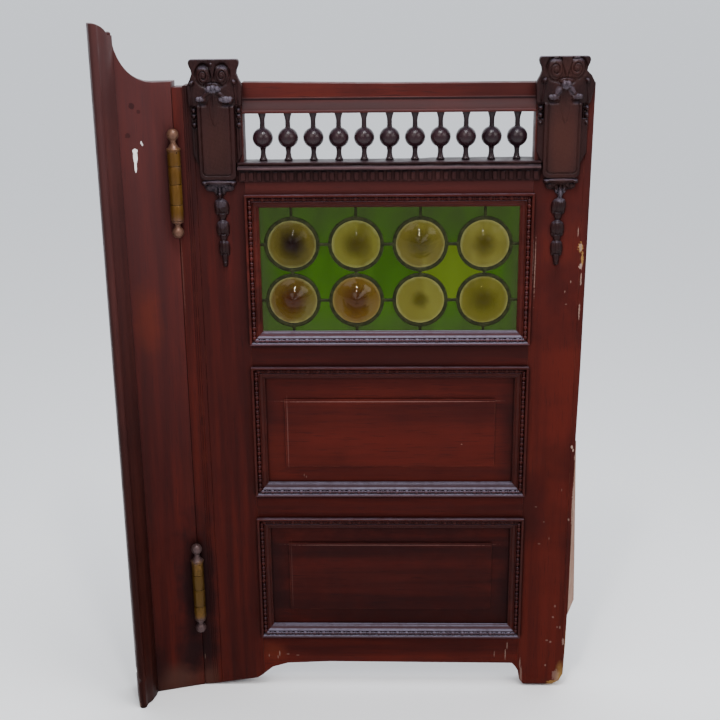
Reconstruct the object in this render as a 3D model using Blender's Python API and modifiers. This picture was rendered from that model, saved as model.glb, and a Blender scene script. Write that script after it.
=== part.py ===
"""Mahogany saloon door: one leaf with a leaded glass light, hung by two double-acting hinges from
a wing board that stands folded towards the front.

Door axes: X across the leaf from its middle, Y from its front face to the back, Z up from the
underside of the wing board. Everything hangs from the empty door_set, which puts the scene's
origin on the back of the wing board, where the door is fixed.
"""

import math

import bmesh
import bpy
from mathutils import Matrix, Vector

# Leaf
THICKNESS = 0.045
STILE_INNER = 0.274
HINGE_EDGE = -0.384
CLOSING_EDGE = 0.3815
WORN_EDGE = 0.3755
LEAF_TOP = 1.279
STRIP_WIDTH = 0.01925
FOOT = 0.005
FIT = 0.0003

# Bottom and top of each rail
BOTTOM_RAIL = (0.056, 0.123)
MIDDLE_RAIL = (0.397, 0.452)
CROSS_RAIL = (0.727, 0.777)
FRIEZE_RAIL = (1.0725, 1.119)
SILL = (1.1193, 1.136)
TOP_RAIL = (1.227, 1.279)

# Fluted strip under the sill
FLUTES = 37
FLUTED_HALF = 0.284
FLUTED_FOOT = 1.0995

# Mouldings and panels
MOULD_WIDTH = 0.026
MOULD_LAP = 0.002
MOULD_RISE = 0.0085
PANEL_FACE = 0.010
PANEL_BACK = 0.026
FIELD_HALF = 0.209
FIELD_RISE = 0.002
UPPER_FIELD = (0.515, 0.6545)
LOWER_FIELD = (0.186, 0.335)

# Leaded light
GLASS_FACE = 0.0125
GLASS_BACK = 0.0155
ROUNDEL_RADIUS = 0.048
LEAD_RADIUS = 0.053
LEAD_FACE = 0.0105
LEAD_BACK = 0.0185
TIE_WIDTH = 0.005
ROUND_SIDES = 16
ROUNDEL_COLUMNS = [-0.1889, -0.0643, 0.0603, 0.1849]
ROUNDEL_ROWS = [0.9744, 0.8624]

# Gallery
SPINDLES = 11
SPINDLE_PITCH = 0.0481
SPINDLE_MIDDLE = 0.0015
SPINDLE_DEPTH = 0.022
BALL_RADIUS = 0.0189
BALL_HEIGHT = 0.0460
NECK_RADIUS = 0.0053
END_RADIUS = 0.0072

# Carvings: each capital's middle, the reach of its outer shoulder, and its volutes' middle
CAPITALS = {"left": (-0.3225, 0.0510, (-0.3225, 1.303)), "right": (0.3225, 0.0565, (0.3248, 1.3077))}
CAPITAL_TOP = 1.3265
CAPITAL_FOOT = 1.240
CAPITAL_HALF = 0.049
CAPITAL_RISE = 0.014
CREST_BACK = 0.006
SHAFT_HALF = 0.035
SHAFT_FOOT = 1.104
SHAFT_RISE = 0.012
SHAFT_CORNER = 0.013
DROP_FOOT = 0.934
HUSKS = ((1.063, 0.0165), (1.023, 0.0150), (0.983, 0.0130))

# Wing board
FOLD = math.radians(17)
WING_THICKNESS = 0.042
WING_WIDTH = 0.142
BOARD_WIDTH = 0.137
WING_TOP = 1.283
SCOOP_TOP = 1.374
NOSING_TOP = 1.395
NOSING_RISE = 0.046
NOSE_RADIUS = 0.0078

# Hinges
GAP = 0.0015
BARREL_OUT = 0.014
BARREL_RADIUS = 0.0122
BARREL_HALF = 0.067
BARREL_SIDES = 12
SEAMS = (0.037, 0.003, -0.036)
LEAF_SEAT = 0.0013
LEAF_THICK = 0.002
LEAF_HALF = 0.057
LEAF_DEPTH = 0.037
COLLAR_RADIUS = 0.0134
TIP_BALL = 0.0112
HINGE_LEVELS = {"lower": 0.2385, "upper": 1.095}

# Where the wing board is fixed, in its own axes: across from the front barrel, and up
FIXING = (-0.070, 0.640)

PIVOT_X = HINGE_EDGE - STRIP_WIDTH - GAP / 2
FRONT_AXIS = Vector((PIVOT_X, -BARREL_OUT, 0))
REAR_AXIS = Vector((PIVOT_X, THICKNESS + BARREL_OUT, 0))
BARREL_REACH = REAR_AXIS.y - FRONT_AXIS.y

MAHOGANY = ("mahogany", (0.085, 0.018, 0.011, 1), 0.38, 0)
CARVED = ("carved_mahogany", (0.045, 0.016, 0.014, 1), 0.32, 0)
BRASS = ("brass", (0.30, 0.17, 0.055, 1), 0.42, 1)
GREEN = ("green_glass", (0.06, 0.16, 0.012, 1), 0.08, 0)
YELLOW = ("yellow_glass", (0.20, 0.22, 0.015, 1), 0.08, 0)
OLIVE = ("olive_glass", (0.22, 0.20, 0.04, 1), 0.08, 0)
LEAD = ("lead", (0.05, 0.05, 0.045, 1), 0.6, 0)
BARE = ("bare_wood", (0.42, 0.25, 0.17, 1), 0.7, 0)

# How a drawing plane stands in the door's axes, and the way in which a prism on it grows
PLANES = {
    "XY": (Matrix.Identity(3), Vector((0, 0, 1))),
    "XZ": (Matrix(((1, 0, 0), (0, 0, -1), (0, 1, 0))), Vector((0, 1, 0))),
    "YZ": (Matrix(((0, 0, 1), (1, 0, 0), (0, 1, 0))), Vector((1, 0, 0))),
}


def clear_scene():
    for obj in list(bpy.data.objects):
        bpy.data.objects.remove(obj, do_unlink=True)


def new_collection(name, hidden=False):
    collection = bpy.data.collections.new(name)
    collection.hide_render = hidden
    bpy.context.scene.collection.children.link(collection)
    return collection


def material(finish):
    name, color, roughness, metallic = finish
    found = bpy.data.materials.get(name)
    if found:
        return found
    found = bpy.data.materials.new(name)
    found.use_nodes = True
    shader = found.node_tree.nodes["Principled BSDF"]
    shader.inputs["Base Color"].default_value = color
    shader.inputs["Roughness"].default_value = roughness
    shader.inputs["Metallic"].default_value = metallic
    return found


def empty(name, place, parent=None, turn=0.0):
    obj = bpy.data.objects.new(name, None)
    obj.empty_display_size = 0.05
    door.objects.link(obj)
    obj.parent = parent
    obj.location = place
    obj.rotation_euler.z = turn
    return obj


# ---- shapes, each drawn about its parent's own origin ----


def shape(name, mesh):
    obj = bpy.data.objects.new(name, mesh)
    door.objects.link(obj)
    return obj


def finished(obj, finish, parent, smooth=False):
    """Makes a shape one of the door's pieces."""
    obj.data.materials.append(material(finish))
    obj.parent = parent
    if smooth:
        obj.data.shade_smooth()
        obj.data.set_sharp_from_angle(angle=math.radians(40))
    return obj


def combine(obj, other, operation, parent=None):
    """Joins another shape to this one, or cuts it away, and keeps it as a cutter."""
    door.objects.unlink(other)
    cutters.objects.link(other)
    other.hide_render = True
    other.display_type = "WIRE"
    other.parent = parent or obj.parent
    boolean = obj.modifiers.new(other.name, "BOOLEAN")
    boolean.operation = operation
    boolean.object = other


def from_bmesh(name, work):
    mesh = bpy.data.meshes.new(name)
    work.to_mesh(mesh)
    work.free()
    return shape(name, mesh)


def box(name, corner, opposite, chamfer=0.0):
    """A box between two corners; a chamfer narrows its front, the face towards -Y."""
    low = Vector(map(min, corner, opposite))
    high = Vector(map(max, corner, opposite))
    work = bmesh.new()
    bmesh.ops.create_cube(work, size=1)
    bmesh.ops.scale(work, vec=high - low, verts=work.verts)
    bmesh.ops.translate(work, vec=(low + high) / 2, verts=work.verts)
    if chamfer:
        size, middle = high - low, (low + high) / 2
        narrower = Vector((1 - 2 * chamfer / size.x, 1, 1 - 2 * chamfer / size.z))
        front = [vert for vert in work.verts if vert.co.y < middle.y]
        bmesh.ops.scale(work, vec=narrower, verts=front, space=Matrix.Translation(-middle))
    return from_bmesh(name, work)


def cylinder(name, centre, radius, height):
    work = bmesh.new()
    bmesh.ops.create_cone(
        work, cap_ends=True, segments=BARREL_SIDES, radius1=radius, radius2=radius, depth=height
    )
    bmesh.ops.translate(work, vec=centre, verts=work.verts)
    return from_bmesh(name, work)


def bulge(name, centre, radii):
    """A rounded swelling of a carving, with its poles to the front and back."""
    work = bmesh.new()
    bmesh.ops.create_uvsphere(work, u_segments=10, v_segments=6, radius=1)
    bmesh.ops.rotate(work, matrix=Matrix.Rotation(math.radians(90), 3, "X"), verts=work.verts)
    bmesh.ops.scale(work, vec=radii, verts=work.verts)
    bmesh.ops.translate(work, vec=centre, verts=work.verts)
    return from_bmesh(name, work)


def as_mesh(obj):
    """The welded mesh that a curve makes, in place of the curve."""
    bpy.context.view_layer.update()
    graph = bpy.context.evaluated_depsgraph_get()
    mesh = bpy.data.meshes.new_from_object(obj.evaluated_get(graph))
    name, place = obj.name, obj.matrix_world.copy()
    work = bmesh.new()
    work.from_mesh(mesh)
    bmesh.ops.remove_doubles(work, verts=work.verts, dist=1e-6)
    bmesh.ops.recalc_face_normals(work, faces=work.faces)
    work.to_mesh(mesh)
    work.free()
    bpy.data.objects.remove(obj, do_unlink=True)
    made = shape(name, mesh)
    made.data.transform(place)
    return made


def prism(name, outlines, low, high, plane="XZ"):
    """A flat outline, with any holes after it, made solid between two depths."""
    curve = bpy.data.curves.new(name, "CURVE")
    curve.dimensions = "2D"
    curve.fill_mode = "BOTH"
    curve.extrude = (high - low) / 2
    for outline in outlines:
        spline = curve.splines.new("POLY")
        spline.points.add(len(outline) - 1)
        for point, (a, b) in zip(spline.points, outline):
            point.co = (a, b, 0, 1)
        spline.use_cyclic_u = True
    obj = shape(name, curve)
    turn, normal = PLANES[plane]
    obj.matrix_world = Matrix.Translation(normal * (low + high) / 2) @ turn.to_4x4()
    return as_mesh(obj)


def turned(name, profile, place, sides):
    """A turned shape: (radius, height) points from the top down, about an upright axis."""
    mesh = bpy.data.meshes.new(name)
    points = [(radius, 0, height) for radius, height in profile]
    mesh.from_pydata(points, [(i, i + 1) for i in range(len(points) - 1)], [])
    obj = shape(name, mesh)
    obj.location = place
    screw = obj.modifiers.new("turn", "SCREW")
    screw.steps = screw.render_steps = sides
    screw.use_merge_vertices = True
    screw.merge_threshold = 0.00001
    return obj


def arc(centre, radii, start, end, steps):
    """Points along an ellipse, from one angle in degrees to another."""
    points = []
    for step in range(steps + 1):
        angle = math.radians(start + (end - start) * step / steps)
        points.append((centre[0] + radii[0] * math.cos(angle), centre[1] + radii[1] * math.sin(angle)))
    return points


def circle(centre, radius):
    last = 360 - 360 / ROUND_SIDES
    return arc(centre, (radius, radius), 0, last, ROUND_SIDES - 1)


def ball_profile(radius, middle, start, end, steps):
    """A ball's half outline from one angle off the vertical to another."""
    return [(a, middle + b) for a, b in arc((0, 0), (radius, radius), 90 - start, 90 - end, steps)]


def mitred_frame(name, bottom, top, profile):
    """A closed section of (inset, depth) points carried round a light between the stiles."""
    work = bmesh.new()
    loops = []
    for inset, depth in profile:
        x, low, high = STILE_INNER - inset, bottom + inset, top - inset
        corners = ((-x, low), (x, low), (x, high), (-x, high))
        loops.append([work.verts.new((a, depth, b)) for a, b in corners])
    for loop, following in zip(loops, loops[1:] + loops[:1]):
        for i in range(4):
            j = (i + 1) % 4
            work.faces.new((loop[i], loop[j], following[j], following[i]))
    bmesh.ops.recalc_face_normals(work, faces=work.faces)
    return from_bmesh(name, work)


# ---- wing board, drawn from the front barrel's axis: X along the board, Y through it ----


def wing_board():
    """A board with a scooped top, its inner edge bevelled to stand square to the leaf's edge."""
    beyond, scoop = 0.020, (0.070, SCOOP_TOP - WING_TOP)
    shoulder = arc((-0.030, SCOOP_TOP), scoop, 270, 180, 9)
    outline = [(-BOARD_WIDTH, 0), (beyond, 0), (beyond, WING_TOP)] + shoulder + [(-BOARD_WIDTH, SCOOP_TOP)]
    board = prism("wing_board", [outline], BARREL_OUT, BARREL_OUT + WING_THICKNESS)
    finished(board, MAHOGANY, wing_face)
    waste = box("wing_bevel", (-GAP / 2, 0, -beyond), (2 * beyond, 0.1, WING_TOP + beyond))
    combine(board, waste, "DIFFERENCE", wing)
    for side, level in HINGE_LEVELS.items():
        combine(board, hinge_recess(side + "_wing_recess", level, -1), "DIFFERENCE", wing)


def wing_nosing():
    """The bullnose that stands forward along the wing board's outer edge, and the slope behind it."""
    seat = BARREL_OUT - FIT
    front = BARREL_OUT - NOSING_RISE
    nose = arc((NOSE_RADIUS - WING_WIDTH, front), (NOSE_RADIUS, NOSE_RADIUS), 180, 360, 8)
    slope = [(-0.1235, -0.0262), (-0.1130, -0.0160), (-0.1040, -0.0005), (-0.1000, 0.0085), (-0.0975, seat)]
    nosing = prism("wing_nosing", [[(-WING_WIDTH, seat)] + nose + slope], 0, NOSING_TOP, "XY")
    finished(nosing, MAHOGANY, wing_face, smooth=True)
    waste, round_top = 0.010, 0.035
    crown = arc((-0.139, NOSING_TOP - round_top), (round_top, round_top), 90, 20, 6)
    left, right = -WING_WIDTH - waste, slope[-1][0] + waste
    keep = [(left, -waste), (left, NOSING_TOP)] + crown + [(right, crown[-1][1]), (right, -waste)]
    end = prism("nosing_end", [keep], front - NOSE_RADIUS - waste, seat + waste)
    combine(nosing, end, "INTERSECT")


# ---- hinges ----


def hinge_recess(name, level, outer):
    """The shallow cut across an edge for a hinge leaf; outer is 1 for the door's, -1 for the wing's."""
    play, deep, half = 0.001, LEAF_SEAT + LEAF_THICK + FIT, LEAF_HALF + FIT
    near, far = BARREL_OUT - play, BARREL_REACH - BARREL_OUT + play
    return box(name, (0, -outer * near, level - half), (outer * deep, -outer * far, level + half))


def barrel_lengths(level):
    """The bottom and top of the barrel's four lengths, from the top down."""
    cuts = [BARREL_HALF] + list(SEAMS) + [-BARREL_HALF]
    return [(level + low + FIT / 2, level + high - FIT / 2) for high, low in zip(cuts, cuts[1:])]


def knuckle(name, low, high, y=0.0):
    return cylinder(name, (0, y, (low + high) / 2), BARREL_RADIUS, high - low)


def hinge_leaf(name, level, outer, parent):
    """A plate let into an edge, with its barrel's second and fourth lengths on it."""
    near, far = outer * LEAF_SEAT, outer * (LEAF_SEAT + LEAF_THICK)
    front, back = -outer * (BARREL_OUT + FIT), -outer * (BARREL_OUT + LEAF_DEPTH)
    plate = box(name, (near, front, level - LEAF_HALF), (far, back, level + LEAF_HALF))
    finished(plate, BRASS, parent)
    lengths = barrel_lengths(level)
    for order, (low, high) in (("upper", lengths[1]), ("lower", lengths[3])):
        neck_foot = max(low, level - LEAF_HALF) + 0.001
        neck = box(f"{name}_{order}_neck", (near, 0, neck_foot), (far, 1.3 * front, high - 0.001))
        combine(plate, neck, "UNION")
        combine(plate, knuckle(f"{name}_{order}_knuckle", low, high), "UNION")


def hinge_web(name, level):
    """The plate between the front and the rear barrel, with the third length of each on it."""
    half, reach = LEAF_THICK / 2, BARREL_REACH
    web = box(name, (-half, BARREL_OUT, level - LEAF_HALF), (half, reach - BARREL_OUT, level + LEAF_HALF))
    finished(web, BRASS, link)
    low, high = barrel_lengths(level)[2]
    combine(web, box(name + "_neck", (-half, 0, low + 0.001), (half, reach, high - 0.001)), "UNION")
    combine(web, knuckle(name + "_front_knuckle", low, high), "UNION")
    combine(web, knuckle(name + "_rear_knuckle", low, high, reach), "UNION")


def cap_profile():
    """A barrel's top length, with its flared collar and its ball above."""
    top, foot = BARREL_HALF, SEAMS[0] + FIT
    ball = ball_profile(TIP_BALL, top + 0.0285, 0, 150, 5)
    collar = [(0.0056, top + 0.0110), (COLLAR_RADIUS, top + 0.0030), (COLLAR_RADIUS, top)]
    return ball + collar + [(BARREL_RADIUS, top - 0.001), (BARREL_RADIUS, foot), (0, foot)]


def tip_profile():
    """The neck and ball under a barrel."""
    top = -BARREL_HALF - FIT
    neck = [(0, top), (0.0105, top), (0.0060, top - 0.008)]
    return neck + ball_profile(TIP_BALL, -BARREL_HALF - 0.0225, 35, 180, 5)


def hinges():
    for side, level in HINGE_LEVELS.items():
        hinge_leaf(side + "_wing_hinge_leaf", level, -1, wing)
        hinge_web(side + "_hinge_web", level)
        hinge_leaf(side + "_door_hinge_leaf", level, 1, leaf)
        for face, parent in (("front", wing), ("rear", leaf)):
            cap = turned(f"{side}_{face}_hinge_cap", cap_profile(), (0, 0, level), BARREL_SIDES)
            tip = turned(f"{side}_{face}_hinge_tip", tip_profile(), (0, 0, level), BARREL_SIDES)
            finished(cap, BRASS, parent, smooth=True)
            finished(tip, BRASS, parent, smooth=True)


# ---- leaf, drawn in the door's axes and then hung on the rear barrel's axis ----


def on_leaf(obj):
    obj.data.transform(Matrix.Translation(-REAR_AXIS))
    return obj


def leaf_piece(obj, finish, smooth=False):
    return finished(on_leaf(obj), finish, leaf, smooth)


def join_on_leaf(obj, other, operation="UNION"):
    combine(obj, on_leaf(other), operation)


def capital_outline(middle, shoulder, foot):
    """A capital's sides and top, from one foot to the other; its outer shoulder may reach further."""
    plain = 0.051
    waist = [(0.0405, 1.301), (0.0455, 1.312), (0.0465, 1.319), (0.0415, CAPITAL_TOP)]
    outer, inner = ([(reach, foot), (reach - 0.0065, 1.2925)] + waist for reach in (shoulder, plain))
    right, left = (outer, inner) if middle > 0 else (inner, outer)
    return [(middle + x, z) for x, z in right] + [(middle - x, z) for x, z in left[::-1]]


def hinge_stile():
    """Its foot slopes up from the hinges and turns up in a bracket under the rail."""
    foot = [(HINGE_EDGE, 0.003), (-0.2885, 0.0176), (-STILE_INNER, 0.0275)]
    outline = foot + [(-STILE_INNER, LEAF_TOP), (HINGE_EDGE, LEAF_TOP)]
    leaf_piece(prism("hinge_stile", [outline], 0, THICKNESS), MAHOGANY)


def closing_stile():
    """Its edge is worn hollow, and the outer corner of its foot is broken away."""
    bracket = [(STILE_INNER, 0.0385), (0.2785, 0.015), (0.287, FOOT)]
    broken = [(0.349, FOOT), (0.363, 0.013), (0.3715, 0.030), (0.374, 0.103)]
    edge = [(WORN_EDGE, 0.205), (WORN_EDGE, 0.570), (0.3780, 0.720), (CLOSING_EDGE, LEAF_TOP)]
    outline = bracket + broken + edge + [(STILE_INNER, LEAF_TOP)]
    leaf_piece(prism("closing_stile", [outline], 0, THICKNESS), MAHOGANY)


def packing_strip():
    """A tapered lath on the closing edge, broken off aslant at its foot."""
    near = WORN_EDGE + FIT
    taper = [(0.3880, 0.209), (0.3833, 0.349), (0.3799, 0.439), (0.3772, 0.568)]
    strip = prism("packing_strip", [[(near, 0.568), (near, 0.172)] + taper], 0.002, THICKNESS - 0.002)
    leaf_piece(strip, BARE)


def hanging_strip():
    """The strip that brings the leaf's edge out to its hinges."""
    outer, inner, top = PIVOT_X + GAP / 2, HINGE_EDGE - FIT, LEAF_TOP - 0.003
    outline = [(outer, 0.001), (inner, 0.003), (inner, top), (outer, top)]
    strip = prism("hanging_strip", [outline], 0, THICKNESS)
    leaf_piece(strip, MAHOGANY)
    for side, level in HINGE_LEVELS.items():
        combine(strip, hinge_recess(side + "_door_recess", level, 1), "DIFFERENCE")


def plain_rail(name, bottom, top):
    half = STILE_INNER - FIT
    leaf_piece(box(name, (-half, 0, bottom), (half, THICKNESS, top)), MAHOGANY)


def bottom_rail():
    """Its underside is hollowed between the brackets of the two feet."""
    half = STILE_INNER - FIT
    low, high = BOTTOM_RAIL
    left = [(-half, 0.0285), (-0.2548, 0.0445), (-0.2226, 0.0543), (-0.131, 0.0586)]
    right = [(0.240, low), (0.261, low), (0.2685, 0.0475), (half, 0.0385)]
    outline = left + right + [(half, high), (-half, high)]
    leaf_piece(prism("bottom_rail", [outline], 0, THICKNESS), MAHOGANY)


def top_rail():
    """An upper face set a little back, a lower face, and a fillet along the bottom."""
    half = STILE_INNER - FIT
    low, high = TOP_RAIL
    upper, lower, fillet, back = 0.004, 0.001, -0.003, THICKNESS - 0.003
    section = [
        (upper, high), (upper, low + 0.0285), (lower, low + 0.0265), (lower, low + 0.0055),
        (fillet, low + 0.004), (fillet, low), (back, low), (back, high),
    ]
    leaf_piece(prism("top_rail", [section], -half, half, "YZ"), MAHOGANY)


def gallery_sill():
    """The board that the spindles stand on; its moulded nosing laps the stiles in front."""
    half, nosing_half = STILE_INNER - FIT, 0.285
    low, high = SILL
    back, front = 0.058, -0.015
    body = [(-FIT, low), (back - 0.002, low), (back, high - 0.006), (back, high), (-FIT, high)]
    nose = [
        (-FIT, high), (front + 0.003, high), (front + 0.0015, high - 0.003), (front + 0.005, high - 0.006),
        (front + 0.0045, low + 0.0045), (front, low + 0.003), (front, low), (-FIT, low),
    ]
    sill = prism("gallery_sill", [body], -half, half, "YZ")
    leaf_piece(sill, CARVED)
    join_on_leaf(sill, prism("sill_nosing", [nose], -nosing_half, nosing_half, "YZ"))


def fluted_strip():
    """A strip under the sill, cut into upright flutes from end to end."""
    front, groove = -0.0085, -0.0045
    pitch = 2 * FLUTED_HALF / FLUTES
    outline = [(-FLUTED_HALF, -FIT)]
    for i in range(FLUTES):
        start = i * pitch - FLUTED_HALF
        outline += [(start, front), (start + 0.62 * pitch, front)]
        outline += [(start + 0.70 * pitch, groove), (start + 0.92 * pitch, groove)]
    outline += [(FLUTED_HALF, groove), (FLUTED_HALF, -FIT)]
    leaf_piece(prism("fluted_strip", [outline], FLUTED_FOOT, SILL[0] - FIT, "XY"), CARVED)


def moulding_section(seat):
    """Outer fillet, bead, hollow and inner lip, as (inset, depth) from the light's edge."""
    outer, inner = -MOULD_LAP, MOULD_WIDTH - MOULD_LAP
    bead = arc((0.0075, -0.0060), (0.0036, 0.0036), 180, 360, 5)
    hollow = arc((0.0205, -0.0045), (0.0085, 0.0070), 180, 90, 3)
    return (
        [(outer, -FIT), (outer, -MOULD_RISE), (outer + 0.0045, -MOULD_RISE), (outer + 0.0055, -0.0060)]
        + bead + hollow
        + [(inner - 0.003, 0.0050), (inner, 0.0050), (inner, seat), (2 * FIT, seat), (2 * FIT, -FIT)]
    )


def mouldings():
    for name, rail, upper_rail, seat in (
        ("glass_moulding", CROSS_RAIL, FRIEZE_RAIL, LEAD_FACE - FIT),
        ("upper_panel_moulding", MIDDLE_RAIL, CROSS_RAIL, PANEL_FACE - FIT),
        ("lower_panel_moulding", BOTTOM_RAIL, MIDDLE_RAIL, PANEL_FACE - FIT),
    ):
        leaf_piece(mitred_frame(name, rail[1], upper_rail[0], moulding_section(seat)), CARVED)


def glass_stop():
    """The plain frame that holds the leaded light in from the back."""
    near, far = LEAD_BACK + FIT, 0.032
    section = [(FIT, near), (FIT, far), (0.010, far), (0.020, near + 0.004), (0.020, near)]
    leaf_piece(mitred_frame("glass_stop", CROSS_RAIL[1], FRIEZE_RAIL[0], section), MAHOGANY)


def panel(name, rail, upper_rail, field):
    """A flat panel with a slightly raised field in its middle."""
    half = STILE_INNER - FIT
    board = box(name, (-half, PANEL_FACE, rail[1] + FIT), (half, PANEL_BACK, upper_rail[0] - FIT))
    leaf_piece(board, MAHOGANY)
    face, overlap, chamfer = PANEL_FACE - FIELD_RISE, PANEL_FACE + 0.001, 0.001
    low, high = (-FIELD_HALF, face, field[0]), (FIELD_HALF, overlap, field[1])
    join_on_leaf(board, box(name + "_field", low, high, chamfer))


# ---- leaded light ----


def roundel_places():
    return [(x, z) for z in ROUNDEL_ROWS for x in ROUNDEL_COLUMNS]


def green_glass():
    """The green ground, open for each roundel and for the one yellow pane between four of them."""
    half = STILE_INNER - FIT
    low, high = CROSS_RAIL[1] + FIT, FRIEZE_RAIL[0] - FIT
    holes = [circle(place, LEAD_RADIUS + FIT) for place in roundel_places()]
    outline = [(-half, low), (half, low), (half, high), (-half, high)]
    sheet = prism("green_glass", [outline] + holes, GLASS_FACE, GLASS_BACK)
    leaf_piece(sheet, GREEN)
    corner = (ROUNDEL_COLUMNS[2] - FIT, GLASS_FACE - 0.001, ROUNDEL_ROWS[1] - FIT)
    opposite = (ROUNDEL_COLUMNS[3] + FIT, GLASS_BACK + 0.001, ROUNDEL_ROWS[0] + FIT)
    join_on_leaf(sheet, box("yellow_pane_opening", corner, opposite), "DIFFERENCE")


def yellow_pane():
    """The four-pointed pane between the last two columns of roundels."""
    columns, rows = ROUNDEL_COLUMNS[2:], ROUNDEL_ROWS
    pane = box("yellow_pane", (columns[0], GLASS_FACE, rows[1]), (columns[1], GLASS_BACK, rows[0]))
    leaf_piece(pane, YELLOW)
    near, far = GLASS_FACE - 0.001, GLASS_BACK + 0.001
    for x in columns:
        for z in rows:
            ring = prism("yellow_pane_corner", [circle((x, z), LEAD_RADIUS + FIT)], near, far)
            join_on_leaf(pane, ring, "DIFFERENCE")


def lead_ties():
    """Each lead that joins two rings, or a ring and the frame, as its two corners across the light."""
    half, reach, edge = TIE_WIDTH / 2, LEAD_RADIUS - 0.001, 0.262
    bottom, top = CROSS_RAIL[1] + 0.012, FRIEZE_RAIL[0] - 0.012
    ties = []
    for z in ROUNDEL_ROWS:
        stops = [-edge] + [stop for x in ROUNDEL_COLUMNS for stop in (x - reach, x + reach)] + [edge]
        ties += [((a, z - half), (b, z + half)) for a, b in zip(stops[::2], stops[1::2])]
    for x in ROUNDEL_COLUMNS:
        stops = [bottom] + [stop for z in ROUNDEL_ROWS[::-1] for stop in (z - reach, z + reach)] + [top]
        ties += [((x - half, a), (x + half, b)) for a, b in zip(stops[::2], stops[1::2])]
    return ties


def lead_came():
    """A ring round each roundel, joined by ties that lie in front of the green glass."""
    came = None
    for order, place in enumerate(roundel_places(), 1):
        rims = [circle(place, LEAD_RADIUS), circle(place, ROUNDEL_RADIUS + FIT)]
        ring = prism("lead_came" if order == 1 else f"lead_ring_{order}", rims, LEAD_FACE, LEAD_BACK)
        if came is None:
            came = leaf_piece(ring, LEAD)
        else:
            join_on_leaf(came, ring)
    for order, (corner, opposite) in enumerate(lead_ties(), 1):
        near, far = (corner[0], LEAD_FACE, corner[1]), (opposite[0], GLASS_FACE - FIT, opposite[1])
        join_on_leaf(came, box(f"lead_tie_{order}", near, far))


def roundels():
    """Spun glass discs with a knob in the middle."""
    rim, back = 0.0016, -0.0016
    front = [(0, 0.0046), (0.007, 0.0024), (0.036, 0.0020), (ROUNDEL_RADIUS, rim)]
    profile = front + [(ROUNDEL_RADIUS, back), (0, back)]
    depth = (GLASS_FACE + GLASS_BACK) / 2
    for order, (x, z) in enumerate(roundel_places(), 1):
        disc = turned(f"roundel_{order}", profile, Vector((x, depth, z)) - REAR_AXIS, ROUND_SIDES)
        disc.rotation_euler.x = math.radians(90)
        finished(disc, OLIVE, leaf, smooth=True)


# ---- gallery and carvings ----


def spindle_profile():
    """Flared end, neck, ball, neck and ringed foot, from the top down."""
    height = TOP_RAIL[0] - SILL[1] - 2 * FIT
    top = [(0, height), (END_RADIUS, height), (END_RADIUS, height - 0.003), (NECK_RADIUS, height - 0.011)]
    foot = [(NECK_RADIUS, 0.012), (END_RADIUS, 0.006), (END_RADIUS, 0), (0, 0)]
    return top + ball_profile(BALL_RADIUS, BALL_HEIGHT, 18, 162, 5) + foot


def spindles():
    sides = 8
    for i in range(SPINDLES):
        x = SPINDLE_MIDDLE + (i - (SPINDLES - 1) / 2) * SPINDLE_PITCH
        place = Vector((x, SPINDLE_DEPTH, SILL[1] + FIT)) - REAR_AXIS
        finished(turned(f"spindle_{i + 1}", spindle_profile(), place, sides), CARVED, leaf, smooth=True)


def capital(name, middle, shoulder, volutes):
    """A carved capital with a shaft under it, planted on the stile; its crest stands above the leaf."""
    half, foot, corner = SHAFT_HALF, CAPITAL_FOOT - 0.008, SHAFT_CORNER
    chin = [(middle - CAPITAL_HALF, CAPITAL_FOOT), (middle + CAPITAL_HALF, CAPITAL_FOOT)]
    right = arc((middle + half - corner, SHAFT_FOOT + corner), (corner, corner), 270, 360, 3)
    left = arc((middle - half + corner, SHAFT_FOOT + corner), (corner, corner), 180, 270, 3)
    shaft = [chin[0], (middle - half, foot)] + left + right + [(middle + half, foot), chin[1]]
    head = capital_outline(middle, shoulder, LEAF_TOP)
    body = leaf_piece(prism(name, [shaft + head], -SHAFT_RISE, -FIT), CARVED)
    join_on_leaf(body, prism(name + "_head", [chin + head], -CAPITAL_RISE, 0.001 - SHAFT_RISE))
    crest = capital_outline(middle, shoulder, LEAF_TOP + FIT)
    join_on_leaf(body, prism(name + "_crest", [crest], -SHAFT_RISE, CREST_BACK))
    sunk = half - 0.008
    low = (middle - sunk, -2 * SHAFT_RISE, SHAFT_FOOT + 0.010)
    high = (middle + sunk, -SHAFT_RISE / 2, CAPITAL_FOOT - 0.006)
    join_on_leaf(body, box(name + "_sunk_panel", low, high), "DIFFERENCE")
    x, z = volutes
    for side in (-1, 1):
        eye, tip = (x + side * 0.020, -CAPITAL_RISE, z), (middle + side * 0.025, -CAPITAL_RISE, 1.258)
        join_on_leaf(body, bulge(f"{name}_volute_{side}", eye, (0.016, 0.010, 0.017)))
        join_on_leaf(body, bulge(f"{name}_leaf_{side}", tip, (0.012, 0.008, 0.008)))
    join_on_leaf(body, bulge(name + "_shell", (middle, -CAPITAL_RISE, 1.274), (0.011, 0.009, 0.010)))


def husk_drop(name, middle):
    """A string of husks under a curled bracket, flat where it lies on the stile."""
    top = SHAFT_FOOT - 0.001
    profile = [(0, top), (0.026, top), (0.030, top - 0.005), (0.018, top - 0.014), (0.012, top - 0.022)]
    for husk_top, radius in HUSKS:
        profile += [(0.5 * radius, husk_top), (radius, husk_top - 0.009), (0.85 * radius, husk_top - 0.022)]
    profile += [(0.007, 0.950), (0.006, 0.942), (0, DROP_FOOT)]
    drop = turned(name, profile, Vector((middle, 0, 0)) - REAR_AXIS, 12)
    drop.scale.y = 0.5
    finished(drop, CARVED, leaf, smooth=True)
    behind = box(name + "_back", (middle - 0.05, -FIT, DROP_FOOT - 0.01), (middle + 0.05, 0.04, top + 0.01))
    join_on_leaf(drop, behind, "DIFFERENCE")


clear_scene()
door = new_collection("stained_glass_saloon_door")
cutters = new_collection("cutters", hidden=True)

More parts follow.
